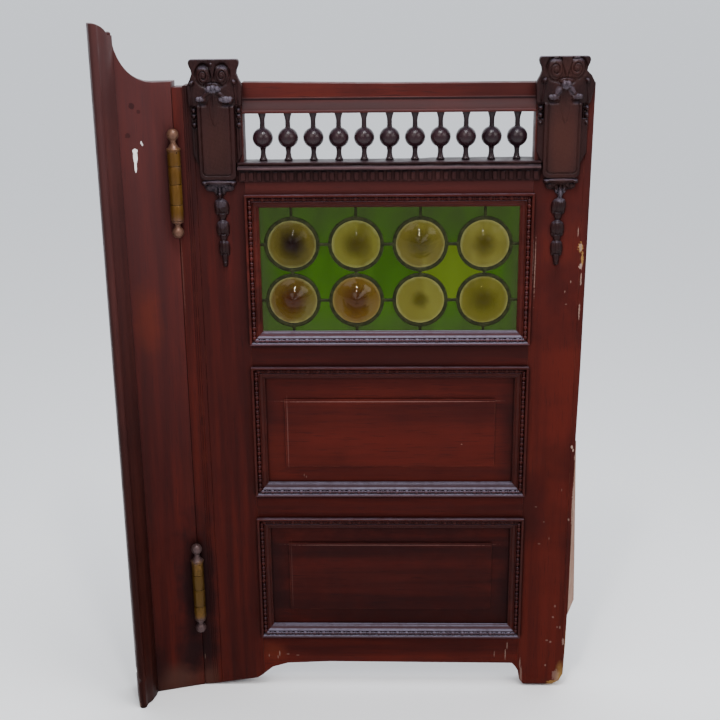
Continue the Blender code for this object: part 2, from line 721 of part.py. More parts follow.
wing_back = Vector((FIXING[0], BARREL_OUT + WING_THICKNESS, FIXING[1]))
fixed_at = FRONT_AXIS + Matrix.Rotation(FOLD, 3, "Z") @ wing_back
door_set = empty("door_set", -fixed_at)
wing = empty("wing_axis", FRONT_AXIS, door_set)
wing_face = empty("wing_face", (0, 0, 0), wing, FOLD)
link = empty("front_barrel_axis", FRONT_AXIS, door_set)
leaf = empty("rear_barrel_axis", REAR_AXIS, door_set)

wing_board()
wing_nosing()
hinges()
hanging_strip()
hinge_stile()
closing_stile()
packing_strip()
bottom_rail()
plain_rail("middle_rail", *MIDDLE_RAIL)
plain_rail("cross_rail", *CROSS_RAIL)
plain_rail("frieze_rail", FRIEZE_RAIL[0], SILL[0] - FIT)
top_rail()
gallery_sill()
fluted_strip()
mouldings()
glass_stop()
panel("upper_panel", MIDDLE_RAIL, CROSS_RAIL, UPPER_FIELD)
panel("lower_panel", BOTTOM_RAIL, MIDDLE_RAIL, LOWER_FIELD)
green_glass()
yellow_pane()
lead_came()
roundels()
spindles()
for side, (middle, shoulder, volutes) in CAPITALS.items():
    capital(side + "_capital", middle, shoulder, volutes)
    husk_drop(side + "_husk_drop", middle)
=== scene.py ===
import math

import bmesh
import bpy
import numpy as np
from mathutils import Matrix, Vector, noise


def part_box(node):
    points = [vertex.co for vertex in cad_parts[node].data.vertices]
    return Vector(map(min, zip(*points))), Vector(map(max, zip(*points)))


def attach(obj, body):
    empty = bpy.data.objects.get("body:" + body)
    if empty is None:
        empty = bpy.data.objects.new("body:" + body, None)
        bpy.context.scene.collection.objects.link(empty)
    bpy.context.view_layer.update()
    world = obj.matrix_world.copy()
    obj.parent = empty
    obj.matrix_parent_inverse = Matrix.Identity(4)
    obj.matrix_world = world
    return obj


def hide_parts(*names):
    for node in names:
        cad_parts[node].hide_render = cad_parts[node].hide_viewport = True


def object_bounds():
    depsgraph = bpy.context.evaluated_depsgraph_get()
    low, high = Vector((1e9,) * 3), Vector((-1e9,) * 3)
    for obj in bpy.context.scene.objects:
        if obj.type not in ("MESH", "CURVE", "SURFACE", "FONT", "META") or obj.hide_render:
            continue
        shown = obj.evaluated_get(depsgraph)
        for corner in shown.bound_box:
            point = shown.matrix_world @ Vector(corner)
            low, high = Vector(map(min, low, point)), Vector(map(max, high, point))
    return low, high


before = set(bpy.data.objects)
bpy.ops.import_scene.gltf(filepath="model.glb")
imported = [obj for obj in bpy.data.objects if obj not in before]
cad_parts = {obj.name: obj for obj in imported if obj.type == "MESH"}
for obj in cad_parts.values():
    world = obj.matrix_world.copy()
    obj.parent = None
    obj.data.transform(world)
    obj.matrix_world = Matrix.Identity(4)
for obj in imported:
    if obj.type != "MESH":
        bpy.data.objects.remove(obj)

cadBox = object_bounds()


def middleOf(node):
    return Vector([(low + high) / 2 for low, high in zip(*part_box(node))])


# The door's own axes: x from the middle of the leaf, y from its front face, z from the foot of the wing board
doorOrigin = Vector((middleOf("bottom_rail").x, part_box("cross_rail")[0].y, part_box("wing_board")[0].z))
# the wing board stands folded forwards: the ways along its face and into it
fold = math.radians(17)
foldWay = Vector((math.cos(fold), math.sin(fold), 0))
foldDepth = Vector((-math.sin(fold), math.cos(fold), 0))


# Small helpers for modelling by hand
def chooseNone():
    bpy.ops.object.select_all(action="DESELECT")


def choose(*objects):
    chooseNone()
    for obj in objects:
        obj.select_set(True)
    bpy.context.view_layer.objects.active = objects[-1]


def edit(obj):
    choose(obj)
    bpy.ops.object.mode_set(mode="EDIT")
    bpy.ops.mesh.select_mode(type="VERT")


def done():
    bpy.ops.object.mode_set(mode="OBJECT")


def pickAll():
    bpy.ops.mesh.select_all(action="SELECT")


# Selects the vertices, edges or faces that pass a test in the mesh being edited
def pick(kind, test):
    bpy.ops.mesh.select_all(action="DESELECT")
    bpy.ops.mesh.select_mode(type=kind)
    mesh = bmesh.from_edit_mesh(bpy.context.object.data)
    for item in {"VERT": mesh.verts, "EDGE": mesh.edges, "FACE": mesh.faces}[kind]:
        item.select_set(bool(test(item)))
    mesh.select_flush_mode()
    bmesh.update_edit_mesh(bpy.context.object.data)


# Cuts the mesh being edited across one axis at each place
def cutAt(axis, places):
    for place in places:
        pickAll()
        bpy.ops.mesh.bisect(plane_co=[place * (i == axis) for i in range(3)],
                            plane_no=[float(i == axis) for i in range(3)])


def pull(x=0.0, y=0.0, z=0.0):
    bpy.ops.mesh.extrude_region_move(TRANSFORM_OT_translate={"value": (x, y, z)})


def closeUp():
    pickAll()
    bpy.ops.mesh.remove_doubles(threshold=0.00001)
    bpy.ops.mesh.normals_make_consistent(inside=False)


def settle(obj):
    choose(obj)
    bpy.ops.object.transform_apply(location=True, rotation=True, scale=True)


def modify(obj, kind, **settings):
    choose(obj)
    modifier = obj.modifiers.new(kind.lower(), kind)
    for key, value in settings.items():
        setattr(modifier, key, value)
    bpy.ops.object.modifier_apply(modifier=modifier.name)


def repeat(obj, count, pitch):
    modify(obj, "ARRAY", count=count, use_relative_offset=False, use_constant_offset=True,
           constant_offset_displace=(pitch, 0, 0))


def smooth(obj, degrees=35):
    choose(obj)
    bpy.ops.object.shade_smooth_by_angle(angle=math.radians(degrees))


def box(name, low, high):
    low, high = Vector(low), Vector(high)
    chooseNone()
    bpy.ops.mesh.primitive_cube_add(size=1, location=(low + high) / 2, scale=high - low)
    obj = bpy.context.object
    obj.name = name
    settle(obj)
    return obj


# A line drawn by extruding one vertex from the next; it stays in edit mode
def drawLine(name, points, closed=False):
    points = [Vector(point) for point in points]
    chooseNone()
    bpy.ops.mesh.primitive_plane_add(size=0.01, location=points[0])
    obj = bpy.context.object
    obj.name = name
    settle(obj)
    edit(obj)
    pickAll()
    bpy.ops.mesh.merge(type="CENTER")
    following = points[1:] + points[:1] if closed else points[1:]
    for here, there in zip(points, following):
        pull(*(there - here))
    if closed:
        pickAll()
        bpy.ops.mesh.remove_doubles(threshold=0.000001)
    return obj


# A closed outline, filled and pulled into a board or a bar
def pulled(name, outline, length):
    obj = drawLine(name, outline, closed=True)
    pickAll()
    bpy.ops.mesh.edge_face_add()
    pull(length)
    pickAll()
    bpy.ops.mesh.normals_make_consistent(inside=False)
    done()
    return obj


# A turned shape: its half outline, as (radius, place along), spun about an axis through the origin
def spun(name, outline, steps, axis="z", closed=False):
    points = [{"x": (along, 0, radius), "y": (radius, along, 0), "z": (radius, 0, along)}[axis]
              for radius, along in outline]
    obj = drawLine(name, points, closed)
    pickAll()
    bpy.ops.mesh.spin(steps=steps, angle=2 * math.pi, center=(0, 0, 0),
                      axis=[float(letter == axis) for letter in "xyz"])
    closeUp()
    done()
    return obj


def arc(centre, radii, start, end, steps):
    angles = [math.radians(start + (end - start) * step / steps) for step in range(steps + 1)]
    return [(centre[0] + radii[0] * math.cos(a), centre[1] + radii[1] * math.sin(a)) for a in angles]


def put(name, data):
    obj = bpy.data.objects.new(name, data)
    bpy.context.scene.collection.objects.link(obj)
    return obj


def copyOf(obj, name, shift=(0, 0, 0)):
    piece = put(name, obj.data.copy())
    piece.location = shift
    settle(piece)
    return piece


def join(objects, name):
    choose(*objects)
    bpy.ops.object.join()
    obj = bpy.context.object
    obj.name = name
    return obj


def discard(*objects):
    for obj in objects:
        bpy.data.objects.remove(obj, do_unlink=True)


# A piece is named as its node is, in camel case
def pieceName(node):
    first, *others = node.split("_")
    return first + "".join(word.title() for word in others)


# A plain CAD piece copied, with its loose triangles joined up and its edges eased
def dressed(node, ease):
    obj = copyOf(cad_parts[node], pieceName(node))
    obj.data.materials.clear()
    edit(obj)
    pickAll()
    bpy.ops.mesh.remove_doubles(threshold=0.00002)
    bpy.ops.mesh.dissolve_limited(angle_limit=math.radians(1))
    bpy.ops.mesh.normals_make_consistent(inside=False)
    done()
    choose(obj)
    if obj.data.has_custom_normals:
        bpy.ops.mesh.customdata_custom_splitnormals_clear()
    modify(obj, "BEVEL", width=ease, segments=2, limit_method="ANGLE", angle_limit=math.radians(28))
    smooth(obj)
    return obj


# Hands a piece to the frame: its finish, the CAD node it stands for and the body it rides on
def fit(obj, material, node, body="leaf"):
    settle(obj)
    if not obj.data.materials:
        obj.data.materials.append(material)
    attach(obj, body)
    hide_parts(node)


# A wire in a node tree; sums with it lay the nodes that work them out
class Wire:
    def __init__(self, tree, socket):
        self.tree, self.socket = tree, socket

    def __add__(self, other):
        return maths("ADD", self, other)

    def __sub__(self, other):
        return maths("SUBTRACT", self, other)

    def __rsub__(self, other):
        return maths("SUBTRACT", other, self)

    def __mul__(self, other):
        return maths("MULTIPLY", self, other)

    def __truediv__(self, other):
        return maths("DIVIDE", self, other)


def feed(node, key, value):
    if isinstance(value, Wire):
        value.tree.links.new(value.socket, node.inputs[key])
    else:
        node.inputs[key].default_value = value


# Adds a node with its settings and sockets, by name or as n and a number, and gives its wires
def addNode(tree, kind, settings=None, **sockets):
    node = tree.nodes.new(kind)
    for key, value in (settings or {}).items():
        setattr(node, key, value)
    for key, value in sockets.items():
        feed(node, int(key[1:]) if key[1:].isdigit() else key, value)
    wires = {}
    for number, output in enumerate(node.outputs):
        wires[number] = wires[output.name] = Wire(tree, output)
    return wires


def maths(operation, first, second=0.5, clamp=False):
    tree = (first if isinstance(first, Wire) else second).tree
    settings = {"operation": operation, "use_clamp": clamp}
    return addNode(tree, "ShaderNodeMath", settings, n0=first, n1=second)[0]


def vectorMaths(operation, first, second=(0, 0, 0)):
    return addNode(first.tree, "ShaderNodeVectorMath", {"operation": operation}, n0=first, n1=second)


def along(vector, axis):
    return addNode(vector.tree, "ShaderNodeSeparateXYZ", n0=vector)[axis]


def noiseOf(place, scale, detail, **sockets):
    return addNode(place.tree, "ShaderNodeTexNoise", Vector=place, Scale=scale, Detail=detail,
                   **sockets)["Fac"]


def remap(value, low, high, newLow=0.0, newHigh=1.0):
    ends = {"From Min": low, "From Max": high, "To Min": newLow, "To Max": newHigh}
    return addNode(value.tree, "ShaderNodeMapRange", {"interpolation_type": "SMOOTHSTEP"}, Value=value,
                   **ends)["Result"]


def blend(factor, first, second):
    return addNode(factor.tree, "ShaderNodeMix", {"data_type": "RGBA", "clamp_factor": True},
                   n0=factor, n6=first, n7=second)[2]


# Camera, light and floor
view = {"place": (0.491164, -2.287737, 0.8335), "down": 17.844, "turn": 1.577, "roll": -0.641, "lens": 60}
studio = {
    "floor": 300.0, "paleness": 0.90, "aim": 0.8,
    "frontSky": (0.40, 0.42, 0.47, 1), "backSky": (1.85, 1.93, 2.05, 1), "skySeam": (-0.25, 0.55),
}
lamps = {
    "overheadSoftbox": {"place": (0.62, -0.42, 2.30), "size": (0.9, 0.9), "power": 46,
                        "color": (0.92, 0.95, 1.0)},
    "keyLamp": {"place": (0.42, -1.10, 2.20), "size": (0.11, 0.34), "power": 21, "color": (1.0, 0.98, 0.96)},
    "frontFill": {"place": (-0.5, -2.5, 1.9), "size": (1.6, 1.6), "power": 33, "color": (1.0, 0.94, 0.88)},
    "sideFill": {"place": (2.1, -1.6, 1.5), "size": (1.2, 1.2), "power": 24, "color": (1.0, 0.96, 0.92)},
}


def makeStudio():
    camera = put("camera", bpy.data.cameras.new("camera"))
    camera.data.lens = view["lens"]
    turns = ((view["turn"], "Z"), (90 - view["down"], "X"), (view["roll"], "Z"))
    turn, tilt, roll = (Matrix.Rotation(math.radians(angle), 3, axis) for angle, axis in turns)
    camera.matrix_world = Matrix.Translation(view["place"]) @ (turn @ tilt @ roll).to_4x4()
    bpy.context.scene.camera = camera

    for name, lamp in lamps.items():
        obj = put(name, bpy.data.lights.new(name, "AREA"))
        obj.data.shape = "RECTANGLE"
        obj.data.size, obj.data.size_y = lamp["size"]
        obj.data.energy = lamp["power"]
        obj.data.color = lamp["color"]
        obj.location = lamp["place"]
        aim = doorOrigin + Vector((0, 0, studio["aim"])) - obj.location
        obj.rotation_euler = aim.to_track_quat("-Z", "Y").to_euler()

    # pale wall of light behind the door, dimmer room in front
    world = bpy.data.worlds.new("paleSurround")
    world.use_nodes = True
    way = along(addNode(world.node_tree, "ShaderNodeTexCoord")["Generated"], 1)
    sky = blend(remap(way, *studio["skySeam"]), studio["frontSky"], studio["backSky"])
    feed(world.node_tree.nodes["Background"], "Color", sky)
    bpy.context.scene.world = world

    chooseNone()
    level = cadBox[0].z - 0.0002
    bpy.ops.mesh.primitive_plane_add(size=studio["floor"], location=(doorOrigin.x, 0, level))
    floor = bpy.context.object
    floor.name = "floor"
    material = bpy.data.materials.new("paleFloor")
    material.use_nodes = True
    shader = material.node_tree.nodes["Principled BSDF"]
    shader.inputs["Base Color"].default_value = (*[studio["paleness"]] * 3, 1)
    shader.inputs["Roughness"].default_value = 0.9
    floor.data.materials.append(material)


makeStudio()
print("studio ready")


# Node groups that the finishes share: the inputs with their values, and a function that gives the outputs
def newGroup(name, make, **inputs):
    group = bpy.data.node_groups.new(name, "ShaderNodeTree")
    for label, value in {"Vector": (0, 0, 0), **inputs}.items():
        kind = "Float" if isinstance(value, float) else {3: "Vector", 4: "Color"}[len(value)]
        socket = group.interface.new_socket(label, in_out="INPUT", socket_type="NodeSocket" + kind)
        socket.default_value = value
    found = make(addNode(group, "NodeGroupInput"))
    for label in found:
        kind = "Color" if label == "Color" else "Float"
        group.interface.new_socket(label, in_out="OUTPUT", socket_type="NodeSocket" + kind)
    addNode(group, "NodeGroupOutput", **found)
    return group


# Straight grain: broad soft figure, ribbons, and short dark pores; the vector comes squeezed along the grain
def grainOf(given):
    place = given["Vector"]
    broad = noiseOf(place, 7.0, 3.0, Distortion=0.8)
    ribbon = noiseOf(place, 46.0, 4.0, Roughness=0.6)
    pore = remap(noiseOf(place, 420.0, 2.0, Roughness=0.7), 0.56, 0.70)
    figure = maths("MULTIPLY", remap(broad * 0.55 + ribbon * 0.45, 0.36, 0.64), given["Figure"], clamp=True)
    tone = blend(figure, given["Dark"], given["Light"])
    return {"Color": blend(pore * 0.5, tone, given["Pore"]), "Height": ribbon * 0.35 - pore}


# Rubbed arrises, and hollows found by how shut in each point is; the woods darken these hollows as dirt and
# as painted shade
def wearOf(given):
    tree = given["Vector"].tree
    rounded = addNode(tree, "ShaderNodeBevel", {"samples": 4}, Radius=given["Edge Width"])["Normal"]
    facing = vectorMaths("DOT_PRODUCT", rounded, addNode(tree, "ShaderNodeNewGeometry")["Normal"])["Value"]
    patches = noiseOf(given["Vector"], given["Patchiness"], 4.0, Roughness=0.65)
    shade = addNode(tree, "ShaderNodeAmbientOcclusion", {"samples": 6}, Distance=given["Hollow Reach"])["AO"]
    edge = remap(facing, 0.985, 0.90) * remap(patches, 0.42, 0.66)
    return {"Edge": edge, "Hollow": remap(shade, 0.85, 0.25), "Mottle": patches}


# One ragged mark, such as a bare patch, a run of paint, a painted highlight or a patch of painted shade: an
# oval of a centre and half sizes
def markOf(given):
    away = vectorMaths("SUBTRACT", given["Vector"], given["Centre"])[0]
    reach = vectorMaths("LENGTH", vectorMaths("DIVIDE", away, given["Half Size"])[0])["Value"]
    rough = noiseOf(given["Vector"], given["Fineness"], 3.0, Roughness=0.6)
    edge = reach + (rough - 0.5) * given["Ragged"] * 4.0
    soft = given["Soft"]
    return {"Mask": remap(edge, maths("ADD", 1.0, soft), 1.0 - soft)}


# Grey film and specks that have settled on what faces up, and painted sheen: faces turned up are painted
# paler and bluish, as the bright sky would light them
def dustAndSheenOf(given):
    facing = addNode(given["Vector"].tree, "ShaderNodeNewGeometry")["Normal"]
    clouds = remap(noiseOf(given["Vector"], 60.0, 5.0, Roughness=0.7), 0.30, 0.70, 0.35, 1.0)
    return {"Mask": remap(along(facing, 2), 0.30, 0.95) * clouds * given["Amount"]}


grainGroup = newGroup("grain", grainOf, Dark=(0.03, 0.01, 0.008, 1), Light=(0.09, 0.02, 0.01, 1),
                      Pore=(0.008, 0.003, 0.003, 1), Figure=1.0)
wearGroup = newGroup("wear", wearOf, **{"Edge Width": 0.0015, "Hollow Reach": 0.012, "Patchiness": 30.0})
markGroup = newGroup("mark", markOf, **{"Centre": (0, 0, 0), "Half Size": (0.01, 0.01, 0.01), "Ragged": 0.35,
                                        "Fineness": 260.0, "Soft": 0.12})
dustAndSheenGroup = newGroup("dust", dustAndSheenOf, Amount=0.4)


def placed(place, group, **sockets):
    return addNode(place.tree, "ShaderNodeGroup", {"node_tree": group}, Vector=place, **sockets)


def newMaterial(name):
    material = bpy.data.materials.new(name)
    material.use_nodes = True
    tree = material.node_tree
    return material, tree.nodes["Principled BSDF"], addNode(tree, "ShaderNodeTexCoord")["Object"]


def squeezed(place, scale, shift=(0, 0, 0)):
    return addNode(place.tree, "ShaderNodeMapping", Vector=place, Scale=scale, Location=shift)["Vector"]


# Feeds a shader and gives it its fine relief
def surface(shader, sockets, height, strength, distance):
    for key, value in sockets.items():
        feed(shader, key, value)
    relief = addNode(height.tree, "ShaderNodeBump", Strength=strength, Distance=distance, Height=height)
    feed(shader, "Normal", relief["Normal"])


upright, across = (1.0, 1.0, 0.045), (0.045, 1.0, 1.0)
varnish = {
    "dark": (0.024, 0.0036, 0.0028, 1), "light": (0.068, 0.0080, 0.0046, 1),
    "dirt": (0.0065, 0.0026, 0.0026, 1), "rubbed": (0.120, 0.030, 0.019, 1), "dust": (0.080, 0.060, 0.066, 1),
    "pore": (0.008, 0.003, 0.003, 1),
}
carved = {
    "dark": (0.0085, 0.0030, 0.0034, 1), "light": (0.022, 0.0065, 0.0062, 1),
    "dirt": (0.0030, 0.0014, 0.0016, 1), "rubbed": (0.150, 0.085, 0.075, 1), "dust": (0.120, 0.110, 0.150, 1),
    "pore": (0.006, 0.003, 0.003, 1),
}
lath = {
    "dark": (0.19, 0.105, 0.078, 1), "light": (0.37, 0.245, 0.195, 1), "dirt": (0.05, 0.026, 0.02, 1),
    "rubbed": (0.5, 0.37, 0.31, 1), "dust": (0.3, 0.26, 0.24, 1), "pore": (0.12, 0.065, 0.05, 1),
}


# The same wood in other browns
def toned(tones, dark, light, **others):
    return {**tones, "dark": (*dark, 1), "light": (*light, 1), **others}


beading = toned(varnish, (0.027, 0.0050, 0.0040), (0.048, 0.0076, 0.0052), dust=(0.130, 0.118, 0.160, 1))
warmBeading = toned(beading, (0.032, 0.0062, 0.0048), (0.074, 0.0120, 0.0085))
fluted = toned(beading, (0.0140, 0.0050, 0.0050), (0.0380, 0.0130, 0.0125))
turned = toned(carved, (0.0110, 0.0042, 0.0068), (0.0250, 0.0090, 0.0120))
browned = toned(varnish, (0.0170, 0.0048, 0.0040), (0.0420, 0.0098, 0.0072))
frieze = toned(varnish, (0.040, 0.0062, 0.0044), (0.084, 0.0112, 0.0068))
plainWood = {
    "tones": varnish, "marks": (), "shift": (0, 0, 0), "dust": 0.35, "rough": (0.36, 0.54), "edge": 0.5,
    "hollow": 0.85, "hollowReach": 0.014, "shine": 0.05, "clouds": 0.40, "haze": 0.12, "dustRun": None,
    "topSheenTone": (0.085, 0.040, 0.042, 1), "topSheenHeights": (0.15, 1.25),
}
paint = (0.72, 0.70, 0.68, 1)


# Dust and painted sheen on a frame: thick on its foot run, as far as the mitres, and thin on the others
def dustAndSheenOnFootRun(dusty, place, left, right, foot):
    sideways, height = along(place, 0), along(place, 2)
    aside = maths("MINIMUM", sideways - left, right - sideways)
    run = remap(aside - (height - foot), -0.001, 0.001) * remap(height, foot + 0.027, foot + 0.024)
    return maths("MAXIMUM", (dusty + 0.16) * run, dusty * 0.3, clamp=True)


# Varnished wood with its grain one way; marks are (colour, strength, centre, half size, ragged)
def woodFinish(name, direction, **changes):
    finish = {**plainWood, **changes}
    tones = finish["tones"]
    material, shader, place = newMaterial(name)
    grain = placed(squeezed(place, direction, finish["shift"]), grainGroup, Dark=tones["dark"],
                   Light=tones["light"], Pore=tones["pore"])
    wear = placed(place, wearGroup, **{"Hollow Reach": finish["hollowReach"]})
    clouds = remap(noiseOf(place, 5.5, 4.0, Roughness=0.55), 0.40, 0.68, 0.0, finish["clouds"])
    tone = blend(clouds, grain["Color"], tones["dark"])
    # dirt and painted shade darken the hollows and the faces next to parts that stand over them
    tone = blend(wear["Hollow"] * finish["hollow"], tone, tones["dirt"])
    tone = blend(wear["Edge"] * finish["edge"], tone, tones["rubbed"])
    # painted sheen: the faces turn paler and greyer towards the top
    start, full = (doorOrigin.z + height for height in finish["topSheenHeights"])
    tone = blend(remap(along(place, 2), start, full, 0.0, finish["haze"]), tone, finish["topSheenTone"])
    # dust and painted sheen on what faces up
    dusty = placed(place, dustAndSheenGroup, Amount=finish["dust"])["Mask"]
    if finish["dustRun"]:
        dusty = dustAndSheenOnFootRun(dusty, place, *finish["dustRun"])
    tone = blend(dusty, tone, tones["dust"])
    gloss, height = remap(wear["Mottle"], 0.30, 0.70, *finish["rough"]), grain["Height"]
    for markColour, strength, centre, halfSize, ragged in finish["marks"]:
        wide, high = sorted((halfSize[0], halfSize[2]))
        broad = high > 0.018 and wide > 0.006
        soft = {"Fineness": 28.0, "Soft": 0.75, "Ragged": 0.5 * ragged} if broad else {"Ragged": ragged}
        mask = placed(place, markGroup, Centre=centre, **{"Half Size": halfSize, **soft})["Mask"] * strength
        tone = blend(mask, tone, markColour)
        gloss = maths("ADD", gloss, mask * 0.25, clamp=True)
        height = height + mask if markColour == paint else height - mask
    surface(shader, {"Base Color": tone, "Roughness": gloss, "Specular IOR Level": finish["shine"]}, height,
            0.16, 0.0005)
    return material


def onDoor(x, z, y=0.0):
    return doorOrigin + Vector((x, y, z)) / 1000


# A mark on the leaf's face, in millimetres from the leaf's middle and the foot
def leafMark(markColour, strength, x, z, halfWide, halfHigh, ragged=0.35, deep=3.0, y=0.0):
    return markColour, strength, onDoor(x, z, y), (halfWide / 1000, deep / 1000, halfHigh / 1000), ragged


# A mark on the wing's face, by its distance from the front barrel's axis along the board
def wingMark(markColour, strength, beside, z, halfWide, halfHigh, ragged=0.35, out=0.0):
    axis = middleOf("upper_front_hinge_cap")
    centre = axis + (beside * foldWay + (14.0 - out) * foldDepth) / 1000
    centre.z = doorOrigin.z + z / 1000
    return markColour, strength, centre, (halfWide / 1000, max(halfWide, 6.0) / 1000, halfHigh / 1000), ragged


def leafMarks(*rows):
    return [leafMark(*row) for row in rows]


def wingMarks(*rows):
    return [wingMark(*row) for row in rows]


# Scuffs, chips, stains and bare arrises of each board, with painted light among them: grime with painted
# shade about the hinges and mouldings, and painted highlights on the panels' field arrises, the carving and
# the sill's nosing
film, grimeAndShade, scuffed = (0.050, 0.040, 0.042, 1), (0.010, 0.0045, 0.005, 1), (0.062, 0.026, 0.019, 1)
glow = (0.100, 0.018, 0.009, 1)
ochre, ash, arrisHighlight = (0.26, 0.150, 0.045, 1), (0.30, 0.205, 0.165, 1), (0.150, 0.068, 0.058, 1)
carvingHighlight, warm, nosingHighlight = (0.150, 0.135, 0.175, 1), (0.046, 0.013, 0.009, 1), (0.150, 0.085, 0.092, 1)
closingMarks = leafMarks(
    (ash, 0.9, 368.5, 556.5, 2.2, 4), (ash, 0.9, 371.2, 549, 1.4, 3.4), (ash, 0.85, 377, 532, 2.6, 9, 0.5),
    (ash, 0.8, 379, 500, 2.2, 40, 0.6, 6), (ash, 0.8, 376.5, 425, 2.4, 60, 0.7, 6),
    (ash, 0.7, 379, 240, 2, 90, 0.8, 6), (ochre, 0.75, 367.5, 968, 4.2, 9.5, 0.8),
    (ash, 0.55, 367.5, 969, 2.8, 7.5, 0.6), (ochre, 0.7, 371.5, 946, 2.4, 12, 0.7),
    (ash, 0.75, 369, 931.5, 2.8, 7, 0.6), (ash, 0.6, 371, 906, 1.3, 12, 0.6),
    (ash, 0.5, 361.5, 999, 0.9, 9, 0.4), (ash, 0.55, 370.5, 842, 1.4, 16, 0.5),
    (ash, 0.55, 275.5, 1004, 1.1, 13, 0.5), (ash, 0.45, 277, 945, 1, 40, 0.8),
    (ash, 0.45, 281.5, 925, 0.9, 55, 0.9), (ash, 0.5, 351.5, 901, 0.9, 2.4), (ash, 0.4, 341, 881, 0.9, 2.6),
    (ash, 0.35, 344, 856, 2.2, 0.9), (ash, 0.21, 300.5, 424, 2.2, 1.2), (ash, 0.21, 318, 390, 1.6, 1.2),
    (ash, 0.45, 369, 395, 1.8, 2.6), (ash, 0.18, 310, 340, 2.6, 1.6), (ash, 0.21, 352, 462, 0.8, 3),
    (ash, 0.21, 330, 352, 0.9, 3), (ochre, 0.8, 366, 25, 9, 24, 0.8, 22, 4),
    (ochre, 0.7, 352, 5, 16, 9, 0.5, 60, 10), (ash, 0.33, 356, 26, 7.5, 13, 0.6, 60),
    (ochre, 0.7, 374.5, 90, 1.9, 52, 0.5, 60), (ash, 0.5, 369, 108, 2.2, 8, 0.5),
    (ash, 0.36, 278.5, 56, 1.5, 12, 0.4), (ash, 0.33, 281.5, 26, 2.4, 22, 0.4),
    (ash, 0.27, 348.5, 194, 1.8, 2.6), (ash, 0.30, 345.5, 168, 2.2, 2.2), (ash, 0.30, 361, 143, 1.5, 3.4),
    (ash, 0.24, 355, 144, 1.4, 2.2), (ash, 0.24, 334, 112, 2.8, 1.8), (ash, 0.30, 342, 108, 2.4, 2.4),
    (ash, 0.36, 333, 51, 1.7, 2.6),
)
# grime with painted shade round the lower hinge, by the foot and beside the capital
hingeStileMarks = leafMarks(
    (grimeAndShade, 0.8, -384, 225, 16, 140, 0.8), (scuffed, 0.6, -381, 20, 7, 36),
    (grimeAndShade, 0.7, -380, 88, 12, 40, 0.8), (grimeAndShade, 0.55, -372, 1200, 14, 150, 0.7),
)
# grime with painted shade round the lower hinge and by the foot, and pale worn arrises
stripMarks = leafMarks(
    (grimeAndShade, 0.85, -394, 225, 20, 140, 0.6), (scuffed, 0.7, -394, 18, 14, 32, 0.3),
    (grimeAndShade, 0.85, -394, 92, 16, 45, 0.7), (ash, 0.35, -401, 70, 0.7, 6, 0.3),
    (ash, 0.09, -401.6, 920, 1.1, 85, 0.8),
)
# grime with painted shade round the lower hinge and by the foot
wingBoardMarks = wingMarks(
    (paint, 0.95, -70, 1162, 4.8, 4, 0.15), (paint, 0.95, -70.2, 1151, 4, 13, 0.12),
    (paint, 0.95, -70.8, 1133, 2.2, 12, 0.15), (paint, 0.7, -57.5, 1176.5, 1.6, 3.2, 0.2),
    (paint, 0.6, -55.8, 1173, 1.4, 2.6, 0.2), (ash, 0.5, -110, 706, 1.1, 2.6),
    (ash, 0.45, -130, 357, 1.1, 2.6), (grimeAndShade, 0.6, -71, 1245, 5, 6), (grimeAndShade, 0.5, -59, 1234, 3.5, 4),
    (grimeAndShade, 0.55, -82, 1191, 5, 5), (scuffed, 0.75, -50, 22, 46, 34, 0.22),
    (grimeAndShade, 0.8, -18, 92, 30, 40, 0.7), (grimeAndShade, 0.6, -100, 62, 22, 40, 0.6),
    (grimeAndShade, 0.85, -8, 225, 30, 140, 0.8), (glow, 0.42, -66, 828, 22, 60, 0.7),
)
nosingMarks = wingMarks((ash, 0.5, -129, 1168, 2, 2.2, 0.3, 44), (ash, 0.45, -138, 8, 7, 12, 0.4, 44))
bottomMarks = leafMarks(
    (ash, 0.5, 250, 98, 0.9, 9, 0.5), (ash, 0.45, 246.5, 76, 1.1, 12, 0.6), (ash, 0.35, 223, 78, 0.8, 7),
    (glow, 0.55, -252, 82, 24, 20, 0.7), (ash, 0.6, -239, 78, 0.8, 7, 0.3), (ash, 0.45, -243, 69, 0.8, 4),
    (ash, 0.45, -221, 76, 3.2, 0.9), (ash, 0.4, -200, 73.5, 3.2, 0.9), (ash, 0.35, -262, 72, 0.9, 3),
)
# a grey film band along the top rail, and a dark line of grime and painted shade where the top board meets it
topMarks = leafMarks((film, 0.5, 0, 1241, 600, 10.5, 0.05, 30), (grimeAndShade, 0.9, 0, 1252.5, 600, 2.2, 0.05, 30))
# painted highlights along the field's top and left arrises, and grime with painted shade near the mouldings
# and over the field
lowerPanelMarks = leafMarks(
    (arrisHighlight, 0.8, 0, 333, 224, 1.3, 0.15, 8, 9), (arrisHighlight, 0.22, -207.5, 262, 1.1, 82, 0.15, 8, 9),
    (grimeAndShade, 0.75, -258, 265, 34, 120, 0.5, 60), (grimeAndShade, 0.5, 0, 372, 280, 22, 0.5, 60),
    (grimeAndShade, 0.7, 258, 265, 32, 120, 0.5, 60), (grimeAndShade, 0.45, 0, 265, 260, 120, 0.8, 60),
)
# small pale chips, painted highlights along the field's top and left arrises, and grime with painted shade
# near the side mouldings
upperPanelMarks = leafMarks(
    (ash, 0.45, 146, 560, 1.7, 1.2, 0.35, 4, 8), (ash, 0.3, -176.5, 491, 0.9, 3.2, 0.35, 4, 8),
    (ash, 0.3, -172, 486.5, 0.9, 3, 0.35, 4, 8), (arrisHighlight, 0.8, 0, 652.5, 224, 1.3, 0.15, 8, 9),
    (arrisHighlight, 0.4, -207.5, 585, 1.1, 80, 0.15, 8, 9), (grimeAndShade, 0.65, 258, 585, 34, 120, 0.5, 60),
    (grimeAndShade, 0.45, -262, 640, 26, 60, 0.5, 60),
)
